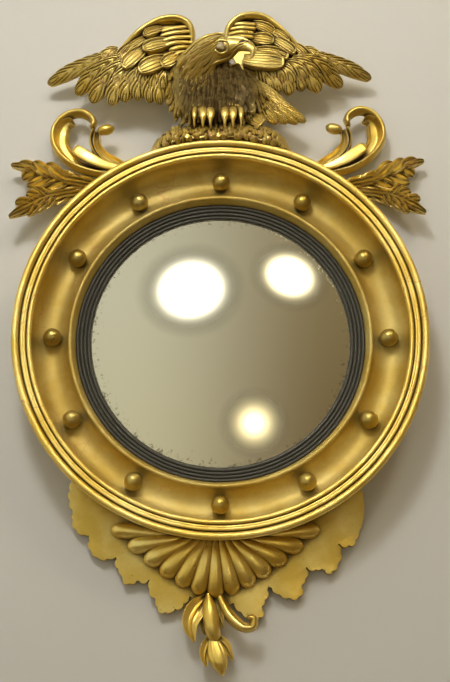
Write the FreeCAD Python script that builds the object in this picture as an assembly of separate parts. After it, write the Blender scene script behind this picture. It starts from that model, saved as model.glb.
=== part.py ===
import FreeCAD, Part
import math
import os

from FreeCAD import Vector

# A round convex mirror in a turned, gilded frame, with a carved eagle crest and a gadrooned apron.
# Millimetres. X is to the viewer's right, Z is up and the wall is the plane Y = 0. The front faces -Y,
# so a depth d in front of the wall is written at(x, z, d). The origin is the ring's centre on its back.

# ---- driving dimensions ----------------------------------------------------------------------------
ring_radius = 280.0          # outside of the ring's rim
ring_back_radius = ring_radius - 14.0   # the plain side tapers in to this at the wall
ring_depth = 80.0            # wall to the top of the outer bead
outer_bead_radius = 5.0
band_depth = 76.5            # flat band between the two beads of the rim
rim_bead_radius = 3.2
rim_bead_circle = ring_radius - 23.2    # where the rim's inner bead runs
cove_floor_depth = 30.5      # wall to the deepest line of the hollow
cove_circle = ring_radius - 50.6        # where that deepest line runs
sight_bead_circle = ring_radius - 75.0  # bead between the hollow and the black slip
sight_bead_radius = 3.0
sight_bead_depth = 47.2
rebate_radius = ring_radius - 73.0      # bore behind the sight edge, for slip, glass and backboard
rebate_depth = 33.5          # wall to the rebate's shoulder
lip_radius = rebate_radius - 8.8        # the ring's sight edge

ball_count = 12
ball_radius = 12.5
peg_width = 5.0              # across the flats of every eight-sided peg
ball_peg_length = 11.0

slip_thickness = 13.3        # shoulder of the rebate to the slip's back
slip_edge_radius = lip_radius - 21.2    # sight edge of the slip
slip_edge_thickness = 1.3
glass_radius = slip_edge_radius + 9.0
glass_curve = 600.0          # sphere that the front of the glass is bent to
glass_thickness = 2.5
block_count = 8
block_length = 26.0
block_grip = 7.0             # how far a block reaches over the glass
board_thickness = 7.0
board_back = 5.0             # wall to the backboard's back
brad_width = 1.8
brad_length = 24.0

fit = 0.3                    # clearance between pieces that are fitted
seat = 0.1                   # glue line between pieces that are planted on each other

drawn_radius = 280.0         # ring that the carvings are drawn round; they grow with the ring
growth = ring_radius / drawn_radius

apron_back = 3.0
apron_thickness = 9.0
scallop_chords = 4           # straight saw cuts that make up one scallop
shell_ribs = 13
shell_half_span = 136.0
shell_drop = 87.0            # from the shell's end ribs down to its middle one
shell_centre_x = -6.0
shell_bottom = -345.0
shell_relief = 8.0
shell_notch = 5.0            # how far the notches between the ribs stand back from their tips

plate_width = 34.0           # iron hanging plate, let into the back of the ring
plate_height = 13.0
plate_thickness = 2.0
plate_z = ring_radius - 30.0 # line of its hinge pin
pocket_depth = 8.0
loop_radius = 12.0           # outside of the hanging ring
loop_bore_radius = 8.5
loop_thickness = 3.0
barrel_radius = 2.6
barrel_length = 16.0
pin_radius = 1.3
knuckle_length = 6.0
screw_width = 2.4


# ---- helpers ---------------------------------------------------------------------------------------
def at(x, z, d):
    return Vector(x, -d, z)


def drawn(x, z, d):
    """Point of a carving, which grows with the ring."""
    return at(x * growth, z * growth, d)


def forward(point, distance):
    return point + Vector(0, -distance, 0)


def blend(a, b, t):
    return a * (1 - t) + b * t


def arc_points(centre_r, centre_d, radius, start, end, steps):
    """Points of a turned round or hollow, in (radius, depth), angles in degrees."""
    angles = [math.radians(start + (end - start) * k / steps) for k in range(steps + 1)]
    return [(centre_r + radius * math.cos(a), centre_d + radius * math.sin(a)) for a in angles]


def turned(profile):
    """Solid of revolution about the ring's axis, from (radius, depth) points."""
    points = [at(r, 0, d) for r, d in profile]
    face = Part.Face(Part.makePolygon(points + points[:1]))
    return face.revolve(Vector(0, 0, 0), Vector(0, 1, 0), 360)


def slab(outline, back, front):
    """Flat plate with a closed outline of (x, z) points."""
    points = [at(x, z, back) for x, z in outline]
    return Part.Face(Part.makePolygon(points + points[:1])).extrude(Vector(0, back - front, 0))


def box(x0, x1, z0, z1, back, front):
    return slab([(x0, z0), (x1, z0), (x1, z1), (x0, z1)], back, front)


def flat(corners):
    return Part.Face(Part.makePolygon(list(corners) + [corners[0]]))


def solid_of(faces):
    """Closed solid sewn from flat facets."""
    shell = Part.makeShell(faces)
    shell.sewShape()
    solid = Part.makeSolid(Part.Shell(shell.Faces))
    if solid.Volume < 0:
        solid.reverse()
    return solid


def facets_between(lower, upper):
    """Flat facets that join two closed rings of points; a ring of one point is a tip."""
    faces = []
    count = max(len(lower), len(upper))
    for k in range(count):
        a, b = lower[k % len(lower)], lower[(k + 1) % len(lower)]
        c, d = upper[(k + 1) % len(upper)], upper[k % len(upper)]
        if len(lower) > 1:
            faces.append(flat((a, b, c)))
        if len(upper) > 1:
            faces.append(flat((a, c, d)))
    return faces


def carved(rings):
    """Solid with flat chisel facets between successive rings of points."""
    faces = []
    for lower, upper in zip(rings, rings[1:]):
        faces += facets_between(lower, upper)
    for end in (rings[0], rings[-1]):
        if len(end) > 1:
            faces.append(flat(end))
    return solid_of(faces)


def smooth_path(points, count):
    """Positions and headings at equal steps along a spline through the given points."""
    curve = Part.BSplineCurve()
    curve.interpolate(points)
    first, last = curve.FirstParameter, curve.LastParameter
    places = [first + (last - first) * k / (count - 1) for k in range(count)]
    return [(curve.value(u), curve.tangent(u)[0]) for u in places]


def along(values, count):
    """Values read at equal steps along a list."""
    out = []
    for k in range(count):
        place = k * (len(values) - 1) / (count - 1)
        low = min(int(place), len(values) - 2)
        out.append(values[low] + (values[low + 1] - values[low]) * (place - low))
    return out


def strip(points, widths, heights, section, count):
    """Carved strip along a path on its back face: half widths and heights follow it."""
    rings = []
    stations = zip(smooth_path(points, count), along(widths, count), along(heights, count))
    for (place, heading), half_width, height in stations:
        width = half_width * growth
        across = Vector(-heading.z, 0, heading.x)
        across.normalize()
        if width < 0.2:
            rings.append([forward(place, height / 2)])
        else:
            rings.append([forward(place + across * (u * width), v * height) for u, v in section])
    return carved(rings)


def ovals(stations, sides):
    """Round carved form through (x, z, d, half height, half depth) stations."""
    centres = [drawn(x, z, d) for x, z, d, _, _ in stations]
    rings = []
    for k, (centre, station) in enumerate(zip(centres, stations)):
        heading = centres[min(k + 1, len(centres) - 1)] - centres[max(k - 1, 0)]
        across = Vector(-heading.z, 0, heading.x)
        across.normalize()
        if station[3] < 0.2:
            rings.append([centre])
            continue
        turns = [2 * math.pi * n / sides for n in range(sides)]
        rings.append([
            centre + across * (station[3] * growth * math.cos(a)) + Vector(0, -station[4] * math.sin(a), 0)
            for a in turns
        ])
    return carved(rings)


def fan(valleys, tips, relief, thickness, rounded, flat_back=None):
    """Carved fan of ribs: each rises from two valley lines to its crown and ends in its tip.

    valleys holds (root, end) pairs, one more than there are tips; relief is the crown's height
    above the valleys, thickness the plate behind them. A rounded rib has a shoulder each side.
    With flat_back the plate ends at that depth instead.
    """
    rows = (0.0, 0.6, 1.0)
    swell = (0.85, 1.0, 0.45)
    faces = []
    ends = (valleys[0], valleys[-1])

    def behind(point):
        if flat_back is None:
            return forward(point, -thickness)
        return Vector(point.x, -flat_back, point.z)

    def columns(left, right, tip):
        root = blend(left[0], right[0], 0.5)
        valley_l = [blend(left[0], left[1], t) for t in rows]
        valley_r = [blend(right[0], right[1], t) for t in rows]
        crown = [blend(root, tip, t) for t in rows]
        lines = [(valley_l, 0.0), (crown, 1.0), (valley_r, 0.0)]
        if rounded:
            push = (tip - blend(left[1], right[1], 0.5)) * 0.32
            beside_l = [blend(a, b, 0.5) + push * t ** 6 for a, b, t in zip(valley_l, crown, rows)]
            beside_r = [blend(a, b, 0.5) + push * t ** 6 for a, b, t in zip(valley_r, crown, rows)]
            lines = [lines[0], (beside_l, 0.8), lines[1], (beside_r, 0.8), lines[2]]
        return lines

    for left, right, tip in zip(valleys, valleys[1:], tips):
        lines = columns(left, right, tip)
        front = [
            [forward(p, relief * share * s) for p, s in zip(line, swell)] for line, share in lines
        ]
        back = [behind(line[-1]) for line, _ in lines]
        roots = [behind(side[0]) for side in (left, right)]
        for a, b in zip(front, front[1:]):
            for r in range(len(rows) - 1):
                faces.append(flat((a[r], b[r], b[r + 1])))
                faces.append(flat((a[r], b[r + 1], a[r + 1])))
        for k in range(len(back) - 1):
            faces.append(flat((front[k][-1], front[k + 1][-1], back[k + 1], back[k])))
        middle = len(back) // 2
        for k in range(middle):
            faces.append(flat((roots[0], back[k], back[k + 1])))
            faces.append(flat((roots[1], back[-1 - k], back[-2 - k])))
        faces.append(flat((roots[0], back[middle], roots[1])))
        faces.append(flat([line[0] for line in front] + [roots[1], roots[0]]))
    for root, end in ends:
        front = [blend(root, end, t) for t in rows]
        faces.append(flat(front + [behind(end), behind(root)]))
    return solid_of(faces)


def faceted_rod(start, direction, width, length, sides=8):
    """Whittled peg or forged rod: a many-sided prism, width across its flats."""
    axis = Vector(direction)
    axis.normalize()
    side = axis.cross(Vector(0, 0, 1))
    if side.Length < 0.1:
        side = axis.cross(Vector(1, 0, 0))
    side.normalize()
    other = axis.cross(side)
    reach = width / 2 / math.cos(math.pi / sides)
    turns = [math.pi * (2 * k + 1) / sides for k in range(sides)]
    ring = [start + side * (reach * math.cos(a)) + other * (reach * math.sin(a)) for a in turns]
    return flat(ring).extrude(axis * length)


def square_nail(start, direction, width, length):
    """Cut brad: a square shank, start on its outer end."""
    axis = Vector(direction)
    axis.normalize()
    across = axis.cross(Vector(0, 1, 0))
    if across.Length < 0.1:
        across = Vector(1, 0, 0)
    across.normalize()
    up = axis.cross(across)
    half = width / 2
    corners = [start + across * (half * a) + up * (half * b)
               for a, b in ((-1, -1), (1, -1), (1, 1), (-1, 1))]
    return flat(corners).extrude(axis * length)


def joined(solids):
    """One carving from overlapping solids."""
    result = solids[0].multiFuse(solids[1:])
    return result.Solids[0] if len(result.Solids) == 1 else result


def group(solids):
    return Part.makeCompound(solids)


def around(angle, radius, depth):
    """Point on a circle of the ring, the angle in degrees clockwise from the top."""
    a = math.radians(angle)
    return at(radius * math.sin(a), radius * math.cos(a), depth)


# ---- sections of carved strips: across -1 to 1, out 0 to 1 ------------------------------------------
HALF_ROUND = [(-1, 0), (-0.8, 0.65), (-0.3, 1), (0.3, 1), (0.8, 0.65), (1, 0)]
RIDGED = [(-1, 0), (-1, 0.4), (0, 1), (1, 0.4), (1, 0)]
FLUTED = [(-1, 0), (-1, 0.75), (-0.7, 1), (-0.4, 0.6), (0.4, 0.6), (0.7, 1), (1, 0.75), (1, 0)]


# ---- the turned frame and what it holds --------------------------------------------------------------
def ring_side():
    """Plain side of the ring and its outer bead, from the wall forward."""
    bead_r = ring_radius - outer_bead_radius
    bead_d = ring_depth - outer_bead_radius
    return [(ring_back_radius, 0)] + arc_points(bead_r, bead_d, outer_bead_radius, -20, 140, 3)


def ring_profile():
    rim_bead_d = band_depth - rim_bead_radius - 0.7
    cove_top_r = rim_bead_circle - rim_bead_radius
    cove_top_d = rim_bead_d - 1.0
    rise = cove_top_d - cove_floor_depth
    reach = cove_top_r - cove_circle
    big = (rise * rise + reach * reach) / (2 * rise)
    foot_r = sight_bead_circle + sight_bead_radius
    foot_d = sight_bead_depth - sight_bead_radius
    low_rise = foot_d - cove_floor_depth
    low_reach = cove_circle - foot_r
    small = (low_rise * low_rise + low_reach * low_reach) / (2 * low_rise)
    start = math.degrees(math.atan2(rise - big, reach))
    end = math.degrees(math.atan2(low_rise - small, -low_reach)) % 360 - 360
    return (
        ring_side()
        + [(ring_radius - 2 * outer_bead_radius, band_depth)]
        + [(rim_bead_circle + rim_bead_radius + 1, band_depth)]
        + arc_points(rim_bead_circle, rim_bead_d, rim_bead_radius, 50, 140, 2)
        + arc_points(cove_circle, cove_floor_depth + big, big, start, -90, 3)
        + arc_points(cove_circle, cove_floor_depth + small, small, -90, end, 2)[1:]
        + arc_points(sight_bead_circle, foot_d, sight_bead_radius, 50, 150, 2)
        + [(lip_radius, rebate_depth)]
        + [(rebate_radius, rebate_depth), (rebate_radius, 0)]
    )


def ring_side_radius(d):
    """Radius of the ring's tapered side at a depth."""
    (back_r, _), (rim_r, rim_d) = ring_side()[:2]
    return back_r + (rim_r - back_r) * d / rim_d


def ring_envelope():
    """What planted carvings are scribed to: the ring's side with a glue line."""
    side = ring_side()[:3]
    outer = [(r + seat, d) for r, d in side]
    return turned([(0, -1), (outer[0][0], -1)] + outer[1:] + [(outer[-1][0], ring_depth + 40),
                                                              (0, ring_depth + 40)])


def ball_places():
    depth = cove_floor_depth + ball_radius + seat
    return [around(360 * k / ball_count, cove_circle, depth) for k in range(ball_count)]


def ball_peg(place, extra):
    start = forward(place, -ball_radius + 2)
    return faceted_rod(start, Vector(0, 1, 0), peg_width + extra, ball_peg_length + 2 + extra)


def brads():
    """Brads driven into the rebate's wall, behind the backboard."""
    depth = board_back - brad_width / 2 - seat
    turns = [math.pi * (2 * k + 1) / 8 for k in range(8)]
    rows = []
    for a in turns:
        outward = Vector(math.sin(a), 0, math.cos(a))
        rows.append(square_nail(outward * (rebate_radius - 9) + Vector(0, -depth, 0), outward,
                                brad_width, brad_length))
    return rows


def hanging_pocket():
    half = plate_width / 2 + 2
    return box(-half, half, plate_z - 2 * loop_radius - 6, plate_z + plate_height, -1, pocket_depth)


def plate_screws():
    z = plate_z + plate_height - 5
    start_d = pocket_depth - plate_thickness
    return [faceted_rod(at(x, z, start_d), Vector(0, -1, 0), screw_width, 16)
            for x in (-plate_width / 2 + 5, plate_width / 2 - 5)]


def frame_ring():
    ring = turned(ring_profile())
    cuts = [ball_peg(place, seat) for place in ball_places()]
    cuts += brads() + plate_screws() + [hanging_pocket()] + crest_pegs()
    return ring.cut(cuts)


def ball(place):
    """Turned ball with its peg, in twelve facets round and six from back to front."""
    rings = []
    for step in range(7):
        a = math.pi * step / 6
        centre = forward(place, -ball_radius * math.cos(a))
        reach = ball_radius * math.sin(a)
        turns = [math.pi * k / 6 for k in range(12)]
        rings.append([centre + Vector(reach * math.cos(t), 0, reach * math.sin(t)) for t in turns])
    rings[0], rings[-1] = [forward(place, -ball_radius)], [forward(place, ball_radius)]
    return carved(rings).fuse(ball_peg(place, 0))


def cove_balls():
    return group([ball(place) for place in ball_places()])


def cap_depth(radius, curve, apex):
    return apex - curve + math.sqrt(curve * curve - radius * radius)


def glass_apex():
    """Depth of the glass's front at its middle."""
    edge = rebate_depth - slip_edge_thickness - 3.6
    return edge + glass_curve - math.sqrt(glass_curve ** 2 - slip_edge_radius ** 2)


def dome(apex, curve):
    """Rings of points over a spherical cap, from its middle to the glass's edge."""
    rings = [[at(0, 0, apex)]]
    for step in range(1, 4):
        r = glass_radius * step / 3
        rings.append([around(7.5 * k, r, cap_depth(r, curve, apex)) for k in range(48)])
    return rings


def mirror_glass():
    front = dome(glass_apex(), glass_curve)
    back = dome(glass_apex() - glass_thickness, glass_curve - glass_thickness)
    return carved(front + back[::-1])


def slip_ring():
    """Black slip with a reeded slope, set in the rebate in front of the glass."""
    top = rebate_depth - seat
    over_glass = cap_depth(slip_edge_radius, glass_curve, glass_apex()) + fit
    glass_seat = cap_depth(glass_radius + fit, glass_curve, glass_apex()) + fit
    back = rebate_depth - slip_thickness
    return turned([
        (slip_edge_radius, over_glass),
        (slip_edge_radius, over_glass + slip_edge_thickness),
        (lip_radius - fit, top),
        (rebate_radius - fit, top),
        (rebate_radius - fit, back),
        (glass_radius + fit, back),
        (glass_radius + fit, glass_seat),
    ])


def glass_blocks():
    """Small pine blocks glued in the rebate, holding the glass to the slip."""
    back = board_back + board_thickness + seat
    top = rebate_depth - slip_thickness - seat
    glass_back = glass_apex() - glass_thickness
    curve = glass_curve - glass_thickness
    inner = glass_radius - block_grip
    outer = rebate_radius - 0.7
    profile = [
        (outer, back),
        (outer, top),
        (glass_radius - seat, top),
        (glass_radius - seat, cap_depth(glass_radius, curve, glass_back) - fit),
        (inner, cap_depth(inner, curve, glass_back) - fit - 0.4),
        (inner - 4, back),
    ]
    blocks = []
    for k in range(block_count):
        points = [at(r, -block_length / 2, d) for r, d in profile]
        block = flat(points).extrude(Vector(0, 0, block_length))
        block.rotate(Vector(0, 0, 0), Vector(0, 1, 0), 360 * k / block_count)
        blocks.append(block)
    return group(blocks)


def backboard():
    front = board_back + board_thickness
    return turned([(0, board_back), (rebate_radius - fit, board_back),
                   (rebate_radius - fit, front), (0, front)])


def backboard_brads():
    return group(brads())


# ---- hanging hardware ------------------------------------------------------------------------------------
def rod(x0, x1, z, d, radius):
    return Part.makeCylinder(radius, x1 - x0, at(x0, z, d), Vector(1, 0, 0))


def barrel(x0, x1):
    return faceted_rod(at(x0, plate_z, pin_depth()), Vector(1, 0, 0), 2 * barrel_radius, x1 - x0, 12)


def pin_depth():
    return pocket_depth - plate_thickness - barrel_radius - fit


def hanging_plate():
    """Plate let into the ring, with two knuckles that hold the pin."""
    half = plate_width / 2
    front = pocket_depth - seat
    plate = box(-half, half, plate_z - barrel_radius, plate_z + plate_height - 1,
                front - plate_thickness, front)
    inner = barrel_length / 2 + fit
    knuckles = []
    for x0 in (-inner - knuckle_length, inner):
        knuckle = barrel(x0, x0 + knuckle_length)
        web = box(x0, x0 + knuckle_length, plate_z, plate_z + barrel_radius,
                  pin_depth(), front - plate_thickness + seat)
        knuckles += [knuckle, web]
    body = plate.multiFuse(knuckles)
    bore = rod(-half - 1, half + 1, plate_z, pin_depth(), pin_radius + 0.05)
    return body.cut([bore] + plate_screws())


def hanging_pin():
    reach = barrel_length / 2 + fit + knuckle_length
    return rod(-reach, reach, plate_z, pin_depth(), pin_radius)


def hanging_ring():
    """Iron ring welded to the barrel that turns on the pin; it hangs straight down."""
    centre_z = plate_z - barrel_radius - loop_radius + 2
    back = pin_depth() - loop_thickness / 2
    outer = faceted_rod(at(0, centre_z, back), Vector(0, -1, 0), 2 * loop_radius, loop_thickness, 24)
    sleeve = barrel(-barrel_length / 2, barrel_length / 2)
    eye = Part.makeCylinder(loop_bore_radius, loop_thickness + 2, at(0, centre_z, back - 1),
                            Vector(0, -1, 0))
    bore = rod(-barrel_length, barrel_length, plate_z, pin_depth(), pin_radius + fit)
    return outer.fuse(sleeve).cut([eye, bore])


# ---- eagle ---------------------------------------------------------------------------------------------------
def wing(shape):
    """One carved wing: flight feathers, two layers of coverts and the rolled leading edge."""
    flights = fan([(drawn(*a), drawn(*b)) for a, b in shape["flight_valleys"]],
                  [drawn(*p) for p in shape["flight_tips"]], 5.0, 9.0, True)
    coverts = fan([(drawn(*a), drawn(*b)) for a, b in shape["covert_valleys"]],
                  [drawn(*p) for p in shape["covert_tips"]], 4.0, 15.0, True)
    bands = fan([(drawn(*a), drawn(*b)) for a, b in shape["band_valleys"]],
                [drawn(*p) for p in shape["band_tips"]], 3.0, 13.0, False)
    roll = strip([drawn(*p) for p in shape["roll"]], [6, 6, 6, 5.5, 5, 4, 2], [13, 14, 14, 13, 12, 9, 5],
                 HALF_ROUND, 9)
    web = slab([(x * growth, z * growth) for x, z in shape["web"]], 48.0, 60.0)
    return joined([flights, coverts, bands, roll, web])


LEFT_WING = {
    "flight_valleys": [
        ((-147, 432, 56), (-203, 411, 36)), ((-142, 424, 57), (-213, 380, 32)),
        ((-135, 417, 58), (-190, 371, 38)), ((-126, 411, 59), (-160, 358, 43)),
        ((-114, 406, 60), (-123, 360, 46)), ((-102, 402, 60), (-104, 358, 48)),
        ((-90, 400, 60), (-85, 353, 50)), ((-72, 400, 60), (-66, 344, 50)),
    ],
    "flight_tips": [
        (-256, 395, 22), (-212, 369, 32), (-184, 353, 39), (-152, 346, 44),
        (-115, 354, 46), (-98, 346, 48), (-76, 342, 50),
    ],
    "covert_valleys": [
        ((-134, 446, 60), (-147, 424, 60)), ((-114, 438, 68), (-120, 400, 68)),
        ((-90, 432, 70), (-88, 399, 72)), ((-56, 428, 70), (-62, 398, 73)),
    ],
    "covert_tips": [(-138, 396, 66), (-102, 386, 71), (-74, 390, 74)],
    "band_valleys": [
        ((-46, 466, 64), (-95, 468, 66)), ((-44, 457, 66), (-110, 458, 67)),
        ((-43, 448, 67), (-118, 446, 68)), ((-44, 438, 68), (-114, 434, 70)),
        ((-48, 428, 69), (-100, 424, 72)), ((-54, 418, 70), (-80, 412, 72)),
    ],
    "band_tips": [(-108, 463, 66), (-121, 452, 67), (-121, 439, 69), (-110, 428, 71), (-92, 416, 73)],
    "roll": [(-45, 440, 58), (-49, 464, 60), (-66, 475, 61), (-88, 473, 61), (-112, 461, 58),
             (-132, 444, 54), (-150, 427, 48)],
    "web": [(-46, 420), (-48, 462), (-66, 472), (-88, 471), (-112, 458), (-146, 428), (-132, 408),
            (-100, 396), (-62, 398)],
}

RIGHT_WING = {
    "flight_valleys": [
        ((124, 434, 56), (168, 414, 42)), ((119, 425, 57), (178, 391, 38)),
        ((112, 416, 58), (143, 380, 43)), ((101, 408, 59), (104, 374, 47)),
        ((86, 403, 60), (78, 371, 50)), ((62, 402, 60), (58, 378, 52)),
    ],
    "flight_tips": [(221, 398, 34), (177, 381, 39), (139, 369, 44), (98, 362, 48), (68, 362, 50)],
    "covert_valleys": [
        ((92, 440, 60), (114, 428, 60)), ((78, 432, 68), (86, 414, 68)),
        ((56, 428, 70), (56, 396, 72)),
    ],
    "covert_tips": [(108, 420, 64), (84, 396, 71)],
    "band_valleys": [
        ((10, 466, 64), (66, 470, 66)), ((8, 457, 66), (86, 458, 67)),
        ((8, 448, 67), (94, 446, 68)), ((10, 438, 68), (86, 434, 70)),
        ((16, 428, 69), (70, 424, 72)),
    ],
    "band_tips": [(80, 466, 66), (96, 453, 67), (96, 440, 69), (82, 428, 71)],
    "roll": [(13, 438, 58), (14, 466, 60), (32, 481, 62), (50, 481, 62), (72, 469, 60),
             (96, 446, 56), (122, 431, 48)],
    "web": [(-8, 404), (10, 424), (14, 462), (32, 477), (50, 477), (72, 464), (124, 428),
            (112, 410), (86, 402), (62, 382), (24, 372)],
}


def left_wing():
    return wing(LEFT_WING).cut(eagle_body())


def right_wing():
    return wing(RIGHT_WING).cut(eagle_body())


def eagle_body():
    """Breast and thighs, as rings stacked upward: z, centre x, centre depth, half width, half depth."""
    levels = [
        (314, -12, 70, 34, 14), (324, -11, 66, 52, 23), (342, -6, 62, 62, 28),
        (362, -6, 61, 64, 30), (380, -14, 62, 56, 29), (396, -24, 64, 44, 26), (410, -28, 66, 30, 20),
    ]
    sides = 14
    rings = []
    for z, x, d, half_x, half_d in levels:
        turns = [2 * math.pi * k / sides for k in range(sides)]
        rings.append([drawn(x + half_x * math.cos(a), z, d + half_d * math.sin(a)) for a in turns])
    return carved(rings)


def eagle_head():
    """Neck, head and hooked beak turned to the viewer's right, with the gape's rolled edge."""
    skull = ovals([
        (-40, 390, 74, 28, 23), (-27, 400, 84, 26, 22), (-14, 407, 94, 24, 20),
        (-3, 410, 101, 20, 17), (8, 409, 107, 15, 13), (17, 408, 111, 12, 9),
        (31, 406, 115, 9.5, 7), (41, 401, 119, 7, 5.5), (44, 393, 120, 4.5, 4),
        (38, 386, 118, 2.6, 2.6), (28, 380, 115, 0, 0),
    ], 10)
    gape = strip([drawn(-16, 382, 94), drawn(4, 389, 102), drawn(22, 397, 108)], [1.5, 2.6, 2.2], [6, 7, 6],
                 HALF_ROUND, 4)
    return joined([skull, gape]).cut(eagle_body())


def eagle_tail():
    valleys = [
        ((52, 370, 62), (88, 350, 56)), ((50, 356, 64), (108, 325, 48)),
        ((46, 344, 66), (90, 324, 52)), ((38, 334, 68), (70, 316, 58)),
        ((20, 324, 68), (34, 307, 64)),
    ]
    tips = [(125, 321, 46), (102, 317, 50), (80, 314, 54), (56, 304, 62)]
    tail = fan([(drawn(*a), drawn(*b)) for a, b in valleys], [drawn(*p) for p in tips], 4.0, 9.0, True)
    return tail.cut(eagle_body())


def foot(centre_x, toe_spread):
    """Feathered shank and hooked toes that grip the rock's front edge."""
    shank = ovals([(centre_x, 330, 74, 10, 9), (centre_x, 318, 80, 9, 8), (centre_x, 307, 85, 7.5, 6)], 6)
    toes = []
    for spread in toe_spread:
        x = centre_x + spread
        toes.append(ovals([
            (centre_x + spread * 0.2, 309, 82, 4, 4), (centre_x + spread * 0.8, 306, 89, 3.6, 3.6),
            (x, 298, 92, 3, 3), (x + spread * 0.05, 289, 89, 0, 0),
        ], 5))
    return joined([shank] + toes)


def left_foot():
    return foot(-27, (-12, -1, 11)).cut(eagle_body())


def right_foot():
    return foot(12, (-12, -2, 8, 15)).cut([eagle_body(), left_foot()])


def crest_rock():
    """Rocky plinth, scribed to the ring and cleft for the claws."""
    slices = [(12, 0.94, 316), (34, 1.0, 322), (56, 0.98, 316), (70, 0.86, 306), (78, 0.7, 298)]
    points = 12
    half_width = 103.0
    base_z = 250.0
    rings = []
    for n, (d, share, top) in enumerate(slices):
        ring = []
        for k in range(points + 1):
            a = math.pi * k / points
            wobble = 1 + 0.055 * math.sin(5.3 * k + 2.1 * n)
            x = half_width * share * math.cos(a) * wobble
            rise = (top - base_z) * min(1.0, 1.5 * math.sin(a)) * wobble
            ring.append(drawn(x, base_z + rise, d))
        rings.append(ring)
    rock = carved(rings)
    return rock.cut([ring_envelope(), eagle_body(), eagle_tail(), left_foot(), right_foot()]
                    + crest_pegs())


def crest_pegs():
    """Pegs through the ring's side into the rock and the two scrolls."""
    places = ((0, -16), (0, 16))
    pegs = []
    for _, angle in places:
        pegs.append(faceted_rod(around(angle, ring_radius - 24, 36), around(angle, 1, 0), peg_width, 44))
    for angle in (-31.5, 31.5):
        pegs.append(faceted_rod(around(angle, ring_radius - 24, 16), around(angle, 1, 0), peg_width, 36))
    return pegs


# ---- scrolls and leaves ----------------------------------------------------------------------------------------
def scroll(path, leaf):
    """C-scroll: a rolled outer edge, and a fluted leaf that ends in a curl inside it."""
    band = strip([drawn(*p) for p in path], [7, 7, 7, 6.5, 6, 5.5, 5, 4.5, 4, 3.5], [16, 16, 15, 15, 14, 12],
                 HALF_ROUND, 20)
    cup = strip([drawn(*p) for p in leaf], [3, 7, 8, 8, 7, 5], [12, 14, 15, 16, 18, 12], FLUTED, 9)
    return joined([band, cup]).cut([ring_envelope()] + crest_pegs())


def left_scroll():
    path = [(-138, 246, 10), (-160, 250, 10), (-184, 257, 12), (-212, 266, 14), (-233, 284, 15),
            (-241, 304, 16), (-236, 323, 17), (-220, 339, 19), (-203, 344, 22), (-188, 336, 25),
            (-179, 320, 28)]
    leaf = [(-196, 268, 12), (-212, 276, 14), (-224, 292, 16), (-227, 308, 17), (-221, 322, 18),
            (-210, 327, 20)]
    return scroll(path, leaf)


def right_scroll():
    path = [(136, 248, 10), (158, 253, 10), (182, 260, 12), (206, 272, 14), (225, 289, 15),
            (232, 307, 16), (230, 325, 17), (219, 341, 19), (205, 350, 22), (191, 346, 25),
            (179, 330, 28)]
    leaf = [(196, 276, 12), (208, 284, 14), (219, 298, 16), (223, 314, 17), (220, 327, 18),
            (212, 334, 20)]
    return scroll(path, leaf)


def stem(points, others):
    """Inner stem of a scroll, from its button back to the ring."""
    body = strip([drawn(*p) for p in points], [3.5, 5, 5.5, 5.5, 5, 4], [12, 13, 14, 14, 12], FLUTED, 9)
    return body.cut([ring_envelope()] + crest_pegs() + others)


def left_stem():
    return stem([(-179, 312, 26), (-184, 300, 22), (-182, 287, 19), (-172, 275, 16), (-154, 266, 14),
                 (-136, 256, 13)], [left_scroll()])


def right_stem():
    return stem([(179, 318, 26), (186, 303, 22), (183, 289, 19), (172, 276, 16), (156, 268, 14),
                 (136, 258, 13)], [right_scroll()])


def button(x, z, others):
    """Flattened turned button where a scroll closes."""
    body = ovals([(x - 13, z, 34, 0, 0), (x - 10, z, 34, 5, 5), (x - 4, z, 34, 8, 8),
                  (x + 4, z, 34, 8, 8), (x + 10, z, 34, 5, 5), (x + 13, z, 34, 0, 0)], 10)
    return body.cut(others)


def left_button():
    return button(-168, 315, [left_scroll(), left_stem()])


def right_button():
    return button(165, 316, [right_scroll(), right_stem()])


def tongue(points, others):
    body = strip([drawn(*p) for p in points], [5, 7, 6.5, 5, 3], [12, 13, 12, 11, 10], HALF_ROUND, 7)
    return body.cut([ring_envelope()] + crest_pegs() + others)


def left_tongue():
    return tongue([(-217, 290, 25), (-206, 284, 24), (-188, 274, 22), (-168, 266, 20), (-148, 260, 18)],
                  [left_scroll(), left_stem()])


def right_tongue():
    return tongue([(214, 298, 25), (208, 285, 24), (194, 272, 22), (174, 263, 20), (152, 258, 18)],
                  [right_scroll(), right_stem()])


def leaf(stations, others):
    """Lobed leaf with a raised midrib; stations are x, z, back depth and half width."""
    rings = []
    for k, (x, z, d, width) in enumerate(stations):
        ahead, behind = stations[min(k + 1, len(stations) - 1)], stations[max(k - 1, 0)]
        heading = at(ahead[0], ahead[1], 0) - at(behind[0], behind[1], 0)
        across = Vector(-heading.z, 0, heading.x)
        across.normalize()
        place = drawn(x, z, d)
        if width == 0:
            rings.append([forward(place, 3)])
        else:
            rings.append([forward(place + across * (u * width * growth), 8 * v) for u, v in RIDGED])
    return carved(rings).cut([ring_envelope()] + crest_pegs() + others)


def left_upper_leaf():
    return leaf([(-146, 228, 6, 8), (-174, 240, 6, 6), (-205, 243, 10, 5), (-222, 243, 13, 8), (-236, 243, 16, 15),
                 (-250, 246, 18, 23), (-257, 248, 19, 17), (-268, 251, 20, 20), (-280, 254, 21, 13),
                 (-288, 259, 21, 7), (-302, 264, 22, 0)], [left_scroll()])


def left_lower_leaf():
    return leaf([(-196, 232, 6, 5), (-212, 224, 8, 5), (-228, 214, 14, 8), (-240, 206, 20, 14),
                 (-250, 203, 26, 18), (-259, 197, 30, 12), (-268, 194, 35, 18), (-278, 184, 39, 12),
                 (-288, 178, 41, 7), (-300, 172, 44, 0)], [left_upper_leaf(), left_twig()])


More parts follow.
